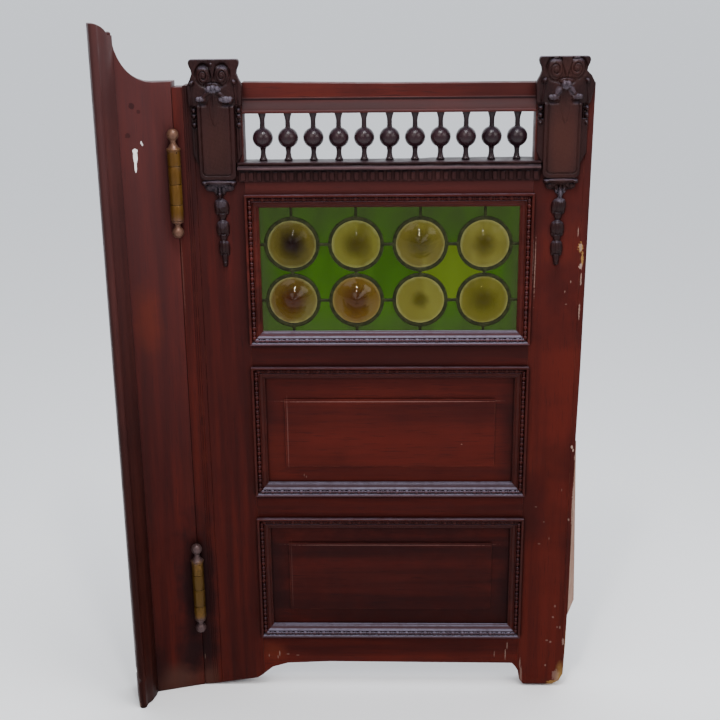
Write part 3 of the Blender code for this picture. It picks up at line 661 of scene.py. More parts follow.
# pale bluish painted highlights on the shells, leaves and husks, and warmer patches on the shafts and the
# right head
carvedMarks = [leafMark(*row, 60) for row in (
    (carvingHighlight, 0.34, -325, 1273, 14, 6.5, 0.3), (carvingHighlight, 0.32, -302, 1254.5, 12, 6, 0.3),
    (carvingHighlight, 0.25, -350, 1255, 8, 5, 0.3), (carvingHighlight, 0.30, 326, 1276, 9, 8, 0.3),
    (carvingHighlight, 0.14, 303.5, 1253.5, 9, 5, 0.3), (carvingHighlight, 0.14, 348, 1254.5, 9, 5, 0.3),
    (carvingHighlight, 0.15, 312, 1265, 6, 8, 0.3), (carvingHighlight, 0.15, 337, 1265, 6, 8, 0.3),
    (carvingHighlight, 0.18, -322.5, 1089, 22, 9, 0.4), (carvingHighlight, 0.12, -320.5, 1060, 9, 9, 0.4),
    (carvingHighlight, 0.30, 324, 1072, 10, 14, 0.4), (carvingHighlight, 0.08, -319.5, 1020, 9, 8, 0.4),
    (warm, 0.75, 323.5, 1172, 28, 66, 0.2), (warm, 0.40, -324, 1172, 27, 60, 0.2),
    (warm, 0.40, 326, 1300, 30, 22, 0.3),
)]
# a pale painted highlight along the sill's nosing
sillMarks = leafMarks((nosingHighlight, 0.32, 0, 1125.3, 310, 3.4, 0.12, 6, -14.5))

# the wide hollow reach paints shade over the panels' margins next to their mouldings
panelLook = {"hollowReach": 0.045, "hollow": 0.8, "dust": 0.2}
acrossBoard = woodFinish("mahoganyAcross", across, shift=(0.31, 0, 0.07), clouds=0.2)

# Each plain board's finish and the ease of its edges
boardLooks = {
    "wing_board": (woodFinish("mahoganyWing", upright, shift=(0.9, 0, 0.6), marks=wingBoardMarks, haze=0.3),
                   0.0012),
    "hanging_strip": (woodFinish("mahoganyStrip", upright, shift=(0.2, 0, 0.9), marks=stripMarks), 0.0005),
    "hinge_stile": (woodFinish("mahoganyHingeStile", upright, shift=(0.7, 0, 0.1), marks=hingeStileMarks),
                    0.0004),
    "closing_stile": (woodFinish("mahoganyClosingStile", upright, shift=(0.4, 0, 0.2), marks=closingMarks,
                                 clouds=0.85, haze=0.10), 0.0004),
    "bottom_rail": (woodFinish("mahoganyBottomRail", across, shift=(0.6, 0, 0.8), marks=bottomMarks), 0.0003),
    "middle_rail": (acrossBoard, 0.0003),
    "cross_rail": (acrossBoard, 0.0003),
    "frieze_rail": (woodFinish("mahoganyFrieze", across, shift=(0.91, 0, 0.27), tones=frieze, clouds=0.0,
                               haze=0.22, hollow=0.4), 0.0002),
    "top_rail": (woodFinish("mahoganyTopRail", across, shift=(0.2, 0, 0.3), marks=topMarks, haze=0.1,
                            dust=0.15, clouds=0.75), 0.0008),
    "glass_stop": (acrossBoard, 0.0008),
    "packing_strip": (woodFinish("bareLath", upright, tones=lath, rough=(0.6, 0.8), clouds=0.7), 0.0004),
    "wing_nosing": (woodFinish("mahoganyNosing", upright, shift=(0.5, 0, 0.3), marks=nosingMarks, edge=0.2,
                               dust=0.05, haze=0.3, clouds=0.85, shine=0.03, tones=browned), 0.0008),
    "upper_panel": (woodFinish("mahoganyUpperPanel", across, shift=(0.11, 0, 0.47), marks=upperPanelMarks,
                               **panelLook), 0.0006),
    "lower_panel": (woodFinish("mahoganyLowerPanel", across, shift=(0.71, 0, 0.17), marks=lowerPanelMarks,
                               **panelLook), 0.0006),
}
carvedUpright = woodFinish("carvedMahoganyUpright", upright, tones=carved, dust=0.40, rough=(0.34, 0.50),
                           edge=0.20, shine=0.13, hollow=1.0, hollowReach=0.010, marks=carvedMarks, haze=0.0)
turnedWood = woodFinish("turnedMahogany", upright, tones=turned, dust=0.2, rough=(0.24, 0.36), edge=0.1,
                        shine=0.26, hollow=0.7, haze=0.0)
sillWood = woodFinish("mahoganySill", across, tones=carved, marks=sillMarks, dust=0.10, rough=(0.40, 0.55),
                      edge=0.35, shine=0.08, haze=0.0)
fluteWood = woodFinish("mahoganyFlutes", upright, tones=fluted, dust=0.3, edge=0.1, shine=0.07, hollow=0.95,
                       hollowReach=0.009, haze=0.0)
print("woods ready")


# Fine upright quirks scratched into a board's face, at distances from the leaf's middle
def quirks(piece, lines, width, depth):
    lines = [doorOrigin.x + line for line in lines]
    edit(piece)
    cutAt(0, [line + side * width / 2 for line in lines for side in (-1, 0, 1)])
    for line in lines:
        pick("VERT", lambda vert: abs(vert.co.x - line) < 0.00003 and vert.co.y < doorOrigin.y + 0.0006)
        bpy.ops.transform.translate(value=(0, depth, 0))
    done()


panelField = {"inset": 0.0022, "width": 0.0010, "depth": 0.0009}


# The raised field of a panel, with a quirk run round it
def fieldQuirk(piece, node):
    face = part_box(node)[0].y + 0.0003
    edit(piece)
    pick("FACE", lambda side: side.normal.y < -0.9 and side.calc_center_median().y < face)
    bpy.ops.mesh.inset(thickness=panelField["inset"], depth=0)
    for depth in (-panelField["depth"], panelField["depth"]):
        bpy.ops.mesh.inset(thickness=panelField["width"], depth=depth)
    done()


notch = {"height": 0.064, "half": 0.0085, "deep": 0.0055, "reach": 0.020}


# The small notch worn into the nosing's outer edge near its foot
def notchNosing(piece):
    middle, half = doorOrigin.z + notch["height"], notch["half"]
    edit(piece)
    cutAt(2, [middle + share * half for share in (-1, -0.5, 0, 0.5, 1)])
    done()
    outermost = min(vert.co.dot(foldWay) for vert in piece.data.vertices)
    for vert in piece.data.vertices:
        near = max(0.0, 1 - abs(vert.co.z - middle) / half)
        outer = max(0.0, 1 - (vert.co.dot(foldWay) - outermost) / notch["reach"])
        vert.co += foldWay * notch["deep"] * near * outer


# The top edge creeps up towards the hinge side
def crownTopRail(piece):
    edit(piece)
    cutAt(0, [doorOrigin.x - 0.27 + share * 0.03 for share in range(1, 12)])
    done()
    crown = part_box("top_rail")[1].z - 0.003
    for vert in piece.data.vertices:
        if vert.co.z > crown:
            share = min(1.0, max(0.0, (vert.co.x - doorOrigin.x + 0.26) / 0.28))
            vert.co.z += 0.0042 * (1 - share) ** 1.3


# Planed close to the wing along its front arris
def planeStrip(piece):
    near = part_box("hanging_strip")[0].x
    for vert in piece.data.vertices:
        if vert.co.x < near + 0.0007 and vert.co.y < doorOrigin.y + 0.004:
            vert.co.x -= 0.0007


# Its closing arris comes near the strip's, and its scooped top rises a little
def easeWing(piece):
    farthest = max(vert.co.dot(foldWay) for vert in piece.data.vertices)
    nearest = min(vert.co.dot(foldDepth) for vert in piece.data.vertices)
    crown = doorOrigin.z + 1.270
    for vert in piece.data.vertices:
        if vert.co.dot(foldWay) > farthest - 0.0016 and vert.co.dot(foldDepth) < nearest + 0.004:
            vert.co += 0.0004 * foldWay
    for vert in piece.data.vertices:
        if vert.co.z > crown:
            vert.co.z += 0.0032 * min(1.0, (vert.co.z - crown) / 0.012)


def boards():
    work = {
        "wing_board": easeWing, "hanging_strip": planeStrip, "top_rail": crownTopRail,
        "wing_nosing": notchNosing, "hinge_stile": lambda piece: quirks(piece, (-0.3800, -0.3757, -0.3662),
                                                                        0.0016, 0.0009),
        "closing_stile": lambda piece: quirks(piece, (0.3668,), 0.0012, 0.0006),
        "upper_panel": lambda piece: fieldQuirk(piece, "upper_panel"),
        "lower_panel": lambda piece: fieldQuirk(piece, "lower_panel"),
    }
    for node, (material, ease) in boardLooks.items():
        piece = dressed(node, ease)
        if node in work:
            work[node](piece)
        smooth(piece, 30)
        slotName = "bare_wood" if node == "packing_strip" else "mahogany"
        fit(piece, material, node, "wing" if node.startswith("wing") else "leaf")
        print(piece.name, len(piece.data.polygons))


boards()


# Mouldings: a mitred frame with a string of beads and reels lying in it
moulding = {"lap": 0.002, "pitch": 0.0196, "beadInset": 0.0074, "beadDepth": -0.0034, "beadSides": 8,
            "width": 0.0240}
# each frame's seat, its amount of dust and painted sheen, and its browns
mouldingLooks = {
    "glass_moulding": {"seat": 0.0102, "dust": 1.45, "tones": warmBeading},
    "upper_panel_moulding": {"seat": 0.0097, "dust": 0.95, "tones": beading},
    "lower_panel_moulding": {"seat": 0.0097, "dust": 1.15, "tones": beading},
}


# The section from the outer edge inwards, as (inset from the light's edge, depth from the leaf's face)
def mouldingSection(seat):
    lap, width = moulding["lap"], moulding["width"]
    fillet = [(-lap, -0.0003), (-lap, -0.0074), (-0.0013, -0.0084), (0.0016, -0.0085), (0.0026, -0.0076),
              (0.0031, -0.0052)]
    channel = arc((0.0075, -0.0026), (0.0043, 0.0022), 180, 0, 6)
    ridgeTop = [(0.0121, -0.0044), (0.0128, -0.0042)]
    cove = arc((0.0205, -0.0034), (0.0076, 0.0058), 180, 96, 7)
    lip = [(0.0201, 0.0030), (0.0207, 0.0024), (0.0216, 0.0024), (0.0224, 0.0033), (0.0226, 0.0048),
           (width, 0.0052)]
    return fillet + channel + ridgeTop + cove + lip + [(width, seat), (0.0006, seat), (0.0006, -0.0003)]


# One bead and two reels on their string, lying along x from the origin
def beadAndReels():
    outline = (
        (0, 1.6), (1.2, 1.7), (2.5, 3.3), (4.1, 4.0), (5.9, 4.1), (7.6, 3.4), (9.0, 1.8), (10.6, 1.8),
        (11.3, 3.2), (13.1, 3.3), (13.9, 2.0), (14.6, 3.2), (16.4, 3.3), (17.2, 1.8), (19.6, 1.6),
    )
    return spun("beadAndReels", [(radius / 1000, x / 1000) for x, radius in outline], moulding["beadSides"],
                "x")


# A row of units between two points, run at the nearest whole count
def beadRow(unit, start, end):
    start, end = Vector(start), Vector(end)
    length = (end - start).length
    count = max(1, round(length / moulding["pitch"]))
    row = copyOf(unit, "beadRow")
    repeat(row, count, moulding["pitch"])
    row.scale.x = length / (count * moulding["pitch"])
    settle(row)
    if abs((end - start).z) > abs((end - start).x):
        row.rotation_euler.y = math.radians(-90)
    row.location = start
    settle(row)
    return row


def mouldingFrame(unit, node, look):
    low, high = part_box(node)
    lap, y = moulding["lap"], doorOrigin.y
    left, right, foot, top = low.x + lap, high.x - lap, low.z + lap, high.z - lap
    middle = Vector(((left + right) / 2, y, (foot + top) / 2))
    section = [(left + inset, y + depth, foot + inset) for inset, depth in mouldingSection(look["seat"])]
    frameObject = drawLine("mouldingFrame", section, closed=True)
    # carried round the four corners: each run is pulled out and turned over onto the next mitre
    for flip in ((-1, 1, 1), (1, 1, -1)) * 2:
        bpy.ops.mesh.extrude_region_move()
        bpy.ops.transform.resize(value=flip, center_override=middle)
    closeUp()
    done()
    inset, depth = moulding["beadInset"], y + moulding["beadDepth"]
    x0, x1, z0, z1 = left + inset, right - inset, foot + inset, top - inset
    footDepth, topDepth = depth - 0.0008, depth + 0.0016
    rows = [
        beadRow(unit, (x0, footDepth, z0), (x1, footDepth, z0)),
        beadRow(unit, (x0, topDepth, z1), (x1, topDepth, z1)),
        beadRow(unit, (x0, depth, z0), (x0, depth, z1)), beadRow(unit, (x1, depth, z0), (x1, depth, z1)),
    ]
    smooth(frameObject, 30)
    for row in rows:
        smooth(row, 60)
    piece = join(rows + [frameObject], pieceName(node))
    wood = woodFinish(piece.name + "Wood", across, tones=look["tones"], dust=look["dust"],
                      dustRun=(left, right, foot), edge=0.12, rough=(0.30, 0.46), shine=0.09, hollow=0.4,
                      hollowReach=0.010, haze=0.0)
    fit(piece, wood, node)
    print(piece.name, len(piece.data.polygons))


def mouldings():
    unit = beadAndReels()
    for node, look in mouldingLooks.items():
        mouldingFrame(unit, node, look)
    discard(unit)


mouldings()

# Gallery: spindles, the sill they stand on and the fluted strip under it
spindle = {"steps": 32, "ball": 0.0194, "ballHeight": 0.0428, "neck": 0.0050, "end": 0.0074}


# Half outline from the foot up, as (radius, height)
def spindleOutline(height):
    neck, end, ball, middle = spindle["neck"], spindle["end"], spindle["ball"], spindle["ballHeight"]
    foot = [(0, 0), (end + 0.0001, 0), (end + 0.0006, 0.0007), (end + 0.0007, 0.0026), (end - 0.0002, 0.0042),
            (neck + 0.0014, 0.0052), (neck + 0.0010, 0.0066), (neck + 0.0002, 0.0105),
            (neck - 0.0004, 0.0150)]
    lower = [(neck, 0.0200), (neck + 0.0008, 0.0232), (neck + 0.0034, 0.0256)]
    globe = arc((0, middle), (ball, ball), -60, 68, 16)
    upper = [(neck + 0.0003, middle + ball * 0.985), (neck - 0.0002, middle + 0.0215),
             (neck - 0.0004, height - 0.0170), (neck, height - 0.0125), (neck + 0.0012, height - 0.0075),
             (end, height - 0.0042), (end + 0.0003, height - 0.0020), (end + 0.0003, height), (0, height)]
    return foot + lower + globe + upper


def spindles():
    low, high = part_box("spindle_1")
    first = spun("spindle", spindleOutline(high.z - low.z), spindle["steps"])
    smooth(first, 40)
    for number in range(1, 12):
        node = f"spindle_{number}"
        place = middleOf(node)
        place.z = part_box(node)[0].z
        fit(copyOf(first, f"turnedSpindle{number}", place), turnedWood, node)
    discard(first)
    print("spindles")


spindles()

flutes = {"count": 37, "barWidth": 0.0094, "ease": 0.0030, "footGap": 0.0022, "topGap": 0.0008,
          "groove": 0.0045}


def flutedStrip():
    low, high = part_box("fluted_strip")
    seat = doorOrigin.y - flutes["groove"]
    back = box("flutedBack", (low.x, seat, low.z), high)
    modify(back, "BEVEL", width=0.0006, segments=2)
    pitch = (high.x - low.x) / flutes["count"]
    start = low.x + (pitch - flutes["barWidth"]) / 2
    bar = box("flute", (start, low.y, low.z + flutes["footGap"]),
              (start + flutes["barWidth"], seat + 0.0012, high.z - flutes["topGap"]))
    edit(bar)
    pick("EDGE", lambda edge: all(vert.co.y < low.y + 0.0001 for vert in edge.verts))
    bpy.ops.mesh.bevel(offset=flutes["ease"], segments=4)
    done()
    smooth(bar, 50)
    repeat(bar, flutes["count"], pitch)
    fit(join([bar, back], "flutedStrip"), fluteWood, "fluted_strip")


flutedStrip()

sill = {
    "front": -0.015, "back": 0.058, "bodyHalf": 0.2737, "nosingHalf": 0.285, "cuts": 90, "wear": 0.0011,
    "brokenBack": 0.012, "brokenTo": 0.075,
}


def wobble(x, seed, z=0.0):
    return noise.noise(Vector((x, seed, z)))


def gallerySill():
    low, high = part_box("gallery_sill")
    x, y, foot, top = doorOrigin.x, doorOrigin.y, low.z, high.z
    start, back, seat = x - sill["bodyHalf"], y + sill["back"], y - 0.0003
    outline = ((seat, foot), (back - 0.002, foot), (back, foot + 0.003), (back, top - 0.004),
               (back - 0.002, top - 0.0008), (back - 0.005, top), (seat, top))
    board = pulled("sillBoard", [(start, depth, height) for depth, height in outline], 2 * sill["bodyHalf"])
    # the nosing's section, as (back from its front, down from its top)
    profile = ((0.0058, 0), (0.0048, 0.0006), (0.0045, 0.0014), (0.0047, 0.0034), (0.0066, 0.0042),
               (0.0066, 0.0056), (0.0040, 0.0060), (0.0016, 0.0084), (0.0004, 0.0096), (0, 0.0108),
               (0.0003, 0.0122), (0.0014, 0.0131), (0.0040, 0.0134))
    section = [(y + sill["front"] + inward, top - down) for inward, down in profile]
    section = [(seat, top)] + section + [(y - 0.0052, top - 0.0136), (y - 0.0046, foot), (seat, foot)]
    start, length = x - sill["nosingHalf"], 2 * sill["nosingHalf"]
    nosing = pulled("sillNosing", [(start, depth, height) for depth, height in section], length)
    for part in (nosing, board):
        edit(part)
        cutAt(0, [start + i * length / sill["cuts"] for i in range(1, sill["cuts"])])
        done()
    # rubbed and uneven along the nosing's lower edge and the back
    for vert in nosing.data.vertices:
        place = vert.co.copy()
        reach = max(0.0, (y - 0.004 - place.y) / 0.011)
        vert.co.z += reach * sill["wear"] * (wobble(place.x * 22, 3.1) + 0.5 * wobble(place.x * 70, 1.7))
        vert.co.y += reach * 0.0008 * wobble(place.x * 30, 9.4, vert.co.z * 60)
    for vert in board.data.vertices:
        if vert.co.y > y + 0.03:
            worn = 1 / (1 + math.exp((vert.co.x - x - sill["brokenTo"]) / 0.004))
            vert.co.y -= sill["brokenBack"] * worn + 0.0035 * (wobble(vert.co.x * 26, 5.3) + 0.6)
    smooth(nosing, 38)
    smooth(board, 38)
    piece = join([board, nosing], "gallerySill")
    fit(piece, sillWood, "gallery_sill")
    print("gallery sill", len(piece.data.polygons))


gallerySill()

# The leaded light
light = {
    "roundels": range(1, 9), "ringSteps": 48, "roundelSteps": 56, "flangeIn": 0.0472, "flangeOut": 0.0541,
    "heart": 0.0009, "web": 0.0019, "tie": 0.0054, "solderRise": 0.0029,
}


# Where each roundel lies: its middle on the glass line
def roundelMiddle(number):
    place = middleOf(f"roundel_{number}")
    place.y = middleOf("green_glass").y
    return place


# Half section of a spun disc, from its knob out over the ripples to the thick rim and back behind
def roundelOutline(radius):
    knob = [(0, -0.0032), (0.0012, -0.0040), (0.0028, -0.0043), (0.0045, -0.0036), (0.0065, -0.0026)]
    ripples = []
    for step in range(26):
        out = step * 0.00138
        swelling = 0.00006 * math.cos(2 * math.pi * out / 0.0079)
        ripples.append((0.0085 + out, -0.0022 - swelling * (1 - 0.55 * (0.0085 + out) / radius)))
    rim = [(radius - 0.0042, -0.0022), (radius - 0.0022, -0.0033), (radius - 0.0006, -0.0027),
           (radius, -0.0016), (radius, 0.0010)]
    back = [(radius - 0.0015, 0.0018), (radius - 0.0050, 0.0014), (0.030, 0.0013), (0.015, 0.0016),
            (0.006, 0.0021), (0.0025, 0.0016), (0, 0.0011)]
    return knob + ripples + rim + back


def roundels(materials):
    low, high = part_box("roundel_1")
    first = spun("roundel", roundelOutline((high.z - low.z) / 2), light["roundelSteps"], "y")
    smooth(first, 60)
    for number in light["roundels"]:
        piece = copyOf(first, f"spunRoundel{number}", roundelMiddle(number))
        fit(piece, materials[number], f"roundel_{number}")
    discard(first)
    print("roundels")


# The rings' rounded H section: front leaf, heart and back leaf, as (radius, depth from the glass line)
def leadRing():
    inner, outer, web = light["flangeIn"], light["flangeOut"], light["web"]
    middle, half, heart = (inner + outer) / 2, (outer - inner) / 2, light["heart"]
    front = arc((middle, -0.0021), (half, -0.0014), 0, 180, 6)
    back = arc((middle, 0.0021), (-half, 0.0014), 0, 180, 6)
    inside = [(inner, -web), (middle - heart, -web), (middle - heart, web), (inner, web)]
    outside = [(outer, web), (middle + heart, web), (middle + heart, -web), (outer, -web)]
    return spun("leadRing", front + inside + back + outside, light["ringSteps"], "y", closed=True)


# A straight length of lead along x with a low rounded face, from the origin; it swells to its soldered ends
def leadTie(length):
    half = light["tie"] / 2
    face = arc((0, -0.0019), (half, -0.0013), 0, 180, 6)
    section = face + [(-half, 0.0019), (0, 0.0030), (half, 0.0019)]
    tie = pulled("leadTie", [(0, depth, side) for side, depth in section], length)
    edit(tie)
    cutAt(0, [length * share for share in (0.22, 0.5, 0.78)])
    done()
    for vert in tie.data.vertices:
        swelling = 0.24 * abs(2 * vert.co.x / length - 1) ** 3
        vert.co.z *= 0.94 + swelling
        vert.co.y *= 0.97 + 0.5 * swelling
    return tie


def solderLump():
    chooseNone()
    bpy.ops.mesh.primitive_uv_sphere_add(segments=10, ring_count=6, radius=1, location=(0, 0, 0))
    lump = bpy.context.object
    lump.scale = (0.0052, 0.0012, 0.0036)
    settle(lump)
    edit(lump)
    pick("VERT", lambda vert: abs(vert.co.x) > 0.002)
    bpy.ops.transform.resize(value=(0.92, 0.8, 0.75), center_override=(0, 0, 0))
    done()
    return lump


def leadCame():
    ring, lump = leadRing(), solderLump()
    glass = [roundelMiddle(number) for number in light["roundels"]]
    low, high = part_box("lead_came")
    y, reach = glass[0].y, light["flangeOut"] - 0.0012
    parts = [copyOf(ring, "ring", place) for place in glass]
    rows, columns = [glass[4].z, glass[0].z], [place.x for place in glass[:4]]
    for upward, levels, crossings in ((False, rows[::-1], columns), (True, columns, rows)):
        first, last = (low.z, high.z) if upward else (low.x, high.x)
        stops = [first, *[stop for place in crossings for stop in (place - reach, place + reach)], last]
        for level in levels:
            for start, end in zip(stops[::2], stops[1::2]):
                tie = leadTie(end - start)
                tie.rotation_euler.y = math.radians(-90) if upward else 0
                tie.location = (level, y, start) if upward else (start, y, level)
                settle(tie)
                parts.append(tie)
                for stop in (start, end):
                    if first < stop < last:
                        x, z = (level, stop) if upward else (stop, level)
                        parts.append(copyOf(lump, "solder", (x, y - light["solderRise"], z)))
    piece = join(parts, "leadCame")
    smooth(piece, 50)
    discard(ring, lump)
    fit(piece, leadMetal(), "lead_came")
    print("lead came", len(piece.data.polygons))


# Old lead: dull and grey-brown in the quirks, bright where it was wiped and soldered
def leadMetal():
    material, shader, place = newMaterial("oldLead")
    wear = placed(place, wearGroup, **{"Edge Width": 0.0010, "Hollow Reach": 0.006, "Patchiness": 110.0})
    tone = blend(remap(wear["Mottle"], 0.35, 0.68), (0.011, 0.012, 0.004, 1), (0.029, 0.032, 0.010, 1))
    tone = blend(wear["Hollow"] * 0.7, tone, (0.007, 0.007, 0.004, 1))
    tone = blend(wear["Edge"] * 0.35, tone, (0.13, 0.135, 0.10, 1))
    gloss = remap(wear["Mottle"], 0.3, 0.7, 0.38, 0.62)
    surface(shader, {"Base Color": tone, "Roughness": gloss, "Metallic": 0.25, "Specular IOR Level": 0.12},
            noiseOf(place, 240.0, 3.0), 0.35, 0.0005)
    return material


# Painted shade on the big panes, darker towards the leads and the frame
def shadeNearLeads(place, streaks):
    middle = middleOf("green_glass")
    aside = maths("ABSOLUTE", along(place, 0) - middle.x)
    rise = maths("ABSOLUTE", along(place, 2) - (middle.z - 0.012))
    shadeAmount = maths("MAXIMUM", remap(aside, 0.200, 0.262, 0.0, 0.9), remap(rise, 0.030, 0.125, 0.0, 0.65))
    return shadeAmount * remap(streaks, 0.30, 0.60, 0.6, 1.0)


# Hand-blown glass: streaks and clouds of colour, wavy faces and seeds
def glassFinish(name, body, cloud, waviness=0.7, shade=None, roundel=None):
    material, shader, place = newMaterial(name)
    streaks = noiseOf(squeezed(place, (1.0, 1.0, 0.35)), 16.0, 3.0, Distortion=0.7)
    tone = blend(remap(streaks, 0.36, 0.66), (*body, 1), (*cloud, 1))
    if roundel:
        radius = 0.048
        away = vectorMaths("DISTANCE", place, roundel["centre"])["Value"]
        uneven = away / radius + (noiseOf(place, 38.0, 3.0, Distortion=1.2) - 0.5) * 0.22
        tone = blend(remap(uneven, 0.84, 1.02, 0.0, 0.75), tone, (*roundel["rim"], 1))
        tone = blend(remap(uneven, roundel["reach"], 0.10), tone, (*roundel["heart"], 1))
        # the swelling left by the spinning takes the light high up
        swelling = maths("COSINE", away * (math.pi / radius))
        shine = addNode(place.tree, "ShaderNodeBump", Strength=1.0, Distance=0.0115, Height=swelling)
        for key, value in {"Weight": roundel["glint"], "Roughness": 0.06, "Normal": shine["Normal"]}.items():
            feed(shader, "Coat " + key, value)
    # painted shade towards the leads and the frame
    if shade:
        tone = blend(shadeNearLeads(place, streaks), tone, (*shade, 1))
    seeds = addNode(place.tree, "ShaderNodeTexVoronoi", Vector=place, Scale=130.0)["Distance"]
    bending = 1.12 if roundel else 1.17
    surface(shader, {"Base Color": tone, "Roughness": 0.05, "IOR": bending, "Transmission Weight": 1.0},
            noiseOf(place, 34.0, 2.0) + remap(seeds, 0.16, 0.05) * 0.25, waviness, 0.0012)
    return material


# Body, clouds in it, rim and heart of each roundel, how far the heart spreads and how much it glints
roundelTints = {
    1: ((0.120, 0.092, 0.013), (0.085, 0.065, 0.010), (0.22, 0.22, 0.08), (0.012, 0.004, 0.003), 0.85, 0.08),
    2: ((0.160, 0.145, 0.020), (0.115, 0.098, 0.012), (0.23, 0.23, 0.08), (0.060, 0.046, 0.004), 0.80, 0.04),
    3: ((0.170, 0.148, 0.020), (0.125, 0.098, 0.011), (0.23, 0.22, 0.08), (0.062, 0.046, 0.003), 0.78, 0.20),
    4: ((0.185, 0.162, 0.028), (0.135, 0.115, 0.016), (0.25, 0.24, 0.09), (0.070, 0.054, 0.004), 0.70, 0.07),
    5: ((0.112, 0.086, 0.011), (0.095, 0.056, 0.006), (0.22, 0.21, 0.07), (0.044, 0.009, 0.0005), 0.90, 0.26),
    6: ((0.128, 0.074, 0.006), (0.108, 0.052, 0.004), (0.20, 0.16, 0.04), (0.053, 0.015, 0.0005), 0.85, 0.28),
    7: ((0.175, 0.160, 0.027), (0.150, 0.132, 0.020), (0.25, 0.24, 0.09), (0.075, 0.062, 0.006), 0.50, 0.02),
    8: ((0.140, 0.124, 0.014), (0.105, 0.090, 0.009), (0.22, 0.21, 0.07), (0.062, 0.050, 0.004), 0.75, 0.03),
}


def leadedLight():
    finishes = {}
    for number, (body, cloud, rim, heart, reach, glint) in roundelTints.items():
        roundel = {"centre": roundelMiddle(number), "rim": rim, "heart": heart, "reach": reach,
                   "glint": glint}
        finishes[number] = glassFinish(f"spunGlass{number}", body, cloud, 0.5, roundel=roundel)
    roundels(finishes)
    leadCame()
    panes = {
        "green_glass": glassFinish("greenGlass", (0.043, 0.112, 0.004), (0.034, 0.090, 0.003),
                                   shade=(0.042, 0.052, 0.018)),
        "yellow_pane": glassFinish("yellowGlass", (0.110, 0.162, 0.008), (0.096, 0.140, 0.007)),
    }
    for node, material in panes.items():
        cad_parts[node].material_slots[0].material = material


leadedLight()


# Carvings: each is a grid pressed into its outline, raised by what is carved on it. Sizes are millimetres:
# x from its middle, z from the foot of the wing board, rise from the leaf's face
def ovalReach(x, z, cx, cz, rx, rz):
    return np.sqrt(((x - cx) / rx) ** 2 + ((z - cz) / rz) ** 2)


def dome(x, z, cx, cz, rx, rz, rise, fullness=0.5):
    return rise * np.clip(1 - ((x - cx) / rx) ** 2 - ((z - cz) / rz) ** 2, 0, 1) ** fullness


# A rounded bump or groove about the place where a distance is nought
def swell(away, width=1.0):
    return np.exp(-((away / width) ** 2))


def ridge(x, z, cx, cz, rx, rz, width, rise):
    return rise * swell((ovalReach(x, z, cx, cz, rx, rz) - 1) * (rx + rz) / 2, width)


def rounded(share):
    return np.sqrt(np.clip(1 - share ** 2, 0, 1))


# A rounded strap along a run of points, its width going evenly from one end to the other
def strap(x, z, points, widths, rise):
    raised = np.zeros_like(x)
    for i, ((ax, az), (bx, bz)) in enumerate(zip(points, points[1:])):
        dx, dz = bx - ax, bz - az
        way = np.clip(((x - ax) * dx + (z - az) * dz) / (dx * dx + dz * dz), 0, 1)
        width = widths[0] + (widths[1] - widths[0]) * (i + way) / (len(points) - 1)
        raised = np.maximum(raised, rise * rounded(np.hypot(x - ax - way * dx, z - az - way * dz) / width))
    return raised


def ramp(value, low, high):
    t = np.clip((value - low) / (high - low), 0, 1)
    return t * t * (3 - 2 * t)


# Soft union of two reliefs
def over(first, second, soft=0.8):
    return 0.5 * (first + second + np.sqrt((first - second) ** 2 + soft * soft)) - soft / 2


# Raises a shape standing at a level, where there is any of it
def heap(carving, level, shape, soft=0.8):
    return np.where(shape > 0, over(carving, level + shape, soft), carving)


def carvedGrid(name, middle, outline, relief, foot, top, columns, rows):
    chooseNone()
    bpy.ops.mesh.primitive_grid_add(x_subdivisions=columns, y_subdivisions=rows, size=1)
    piece = bpy.context.object
    piece.name = name
    mesh = piece.data
    flat = np.empty(len(mesh.vertices) * 3)
    mesh.vertices.foreach_get("co", flat)
    z = foot + (top - foot) * (flat[1::3] + 0.5)
    left, right = outline(z)
    x = left + (right - left) * (flat[0::3] + 0.5)
    # the arris is rounded over in the last millimetre before the outline
    edge = np.minimum(np.minimum(x - left, right - x), np.minimum(top - z, z - foot))
    rise = relief(x, z) - 0.9 * (1 - ramp(edge, 0, 1.1))
    place = [doorOrigin.x + (middle + x) / 1000, doorOrigin.y - rise / 1000, doorOrigin.z + z / 1000]
    mesh.vertices.foreach_set("co", np.stack(place, axis=1).ravel())
    mesh.update()
    # closed behind: the border is pulled straight back to the leaf's face and filled
    edit(piece)
    bpy.ops.mesh.select_all(action="DESELECT")
    bpy.ops.mesh.select_mode(type="EDGE")
    bpy.ops.mesh.select_non_manifold()
    bpy.ops.mesh.extrude_region_move()
    bpy.ops.transform.resize(value=(1, 0, 1), center_override=(0, doorOrigin.y - 0.0003, 0))
    bpy.ops.mesh.edge_face_add()
    pickAll()
    bpy.ops.mesh.normals_make_consistent(inside=False)
    done()
    smooth(piece, 70)
    return piece


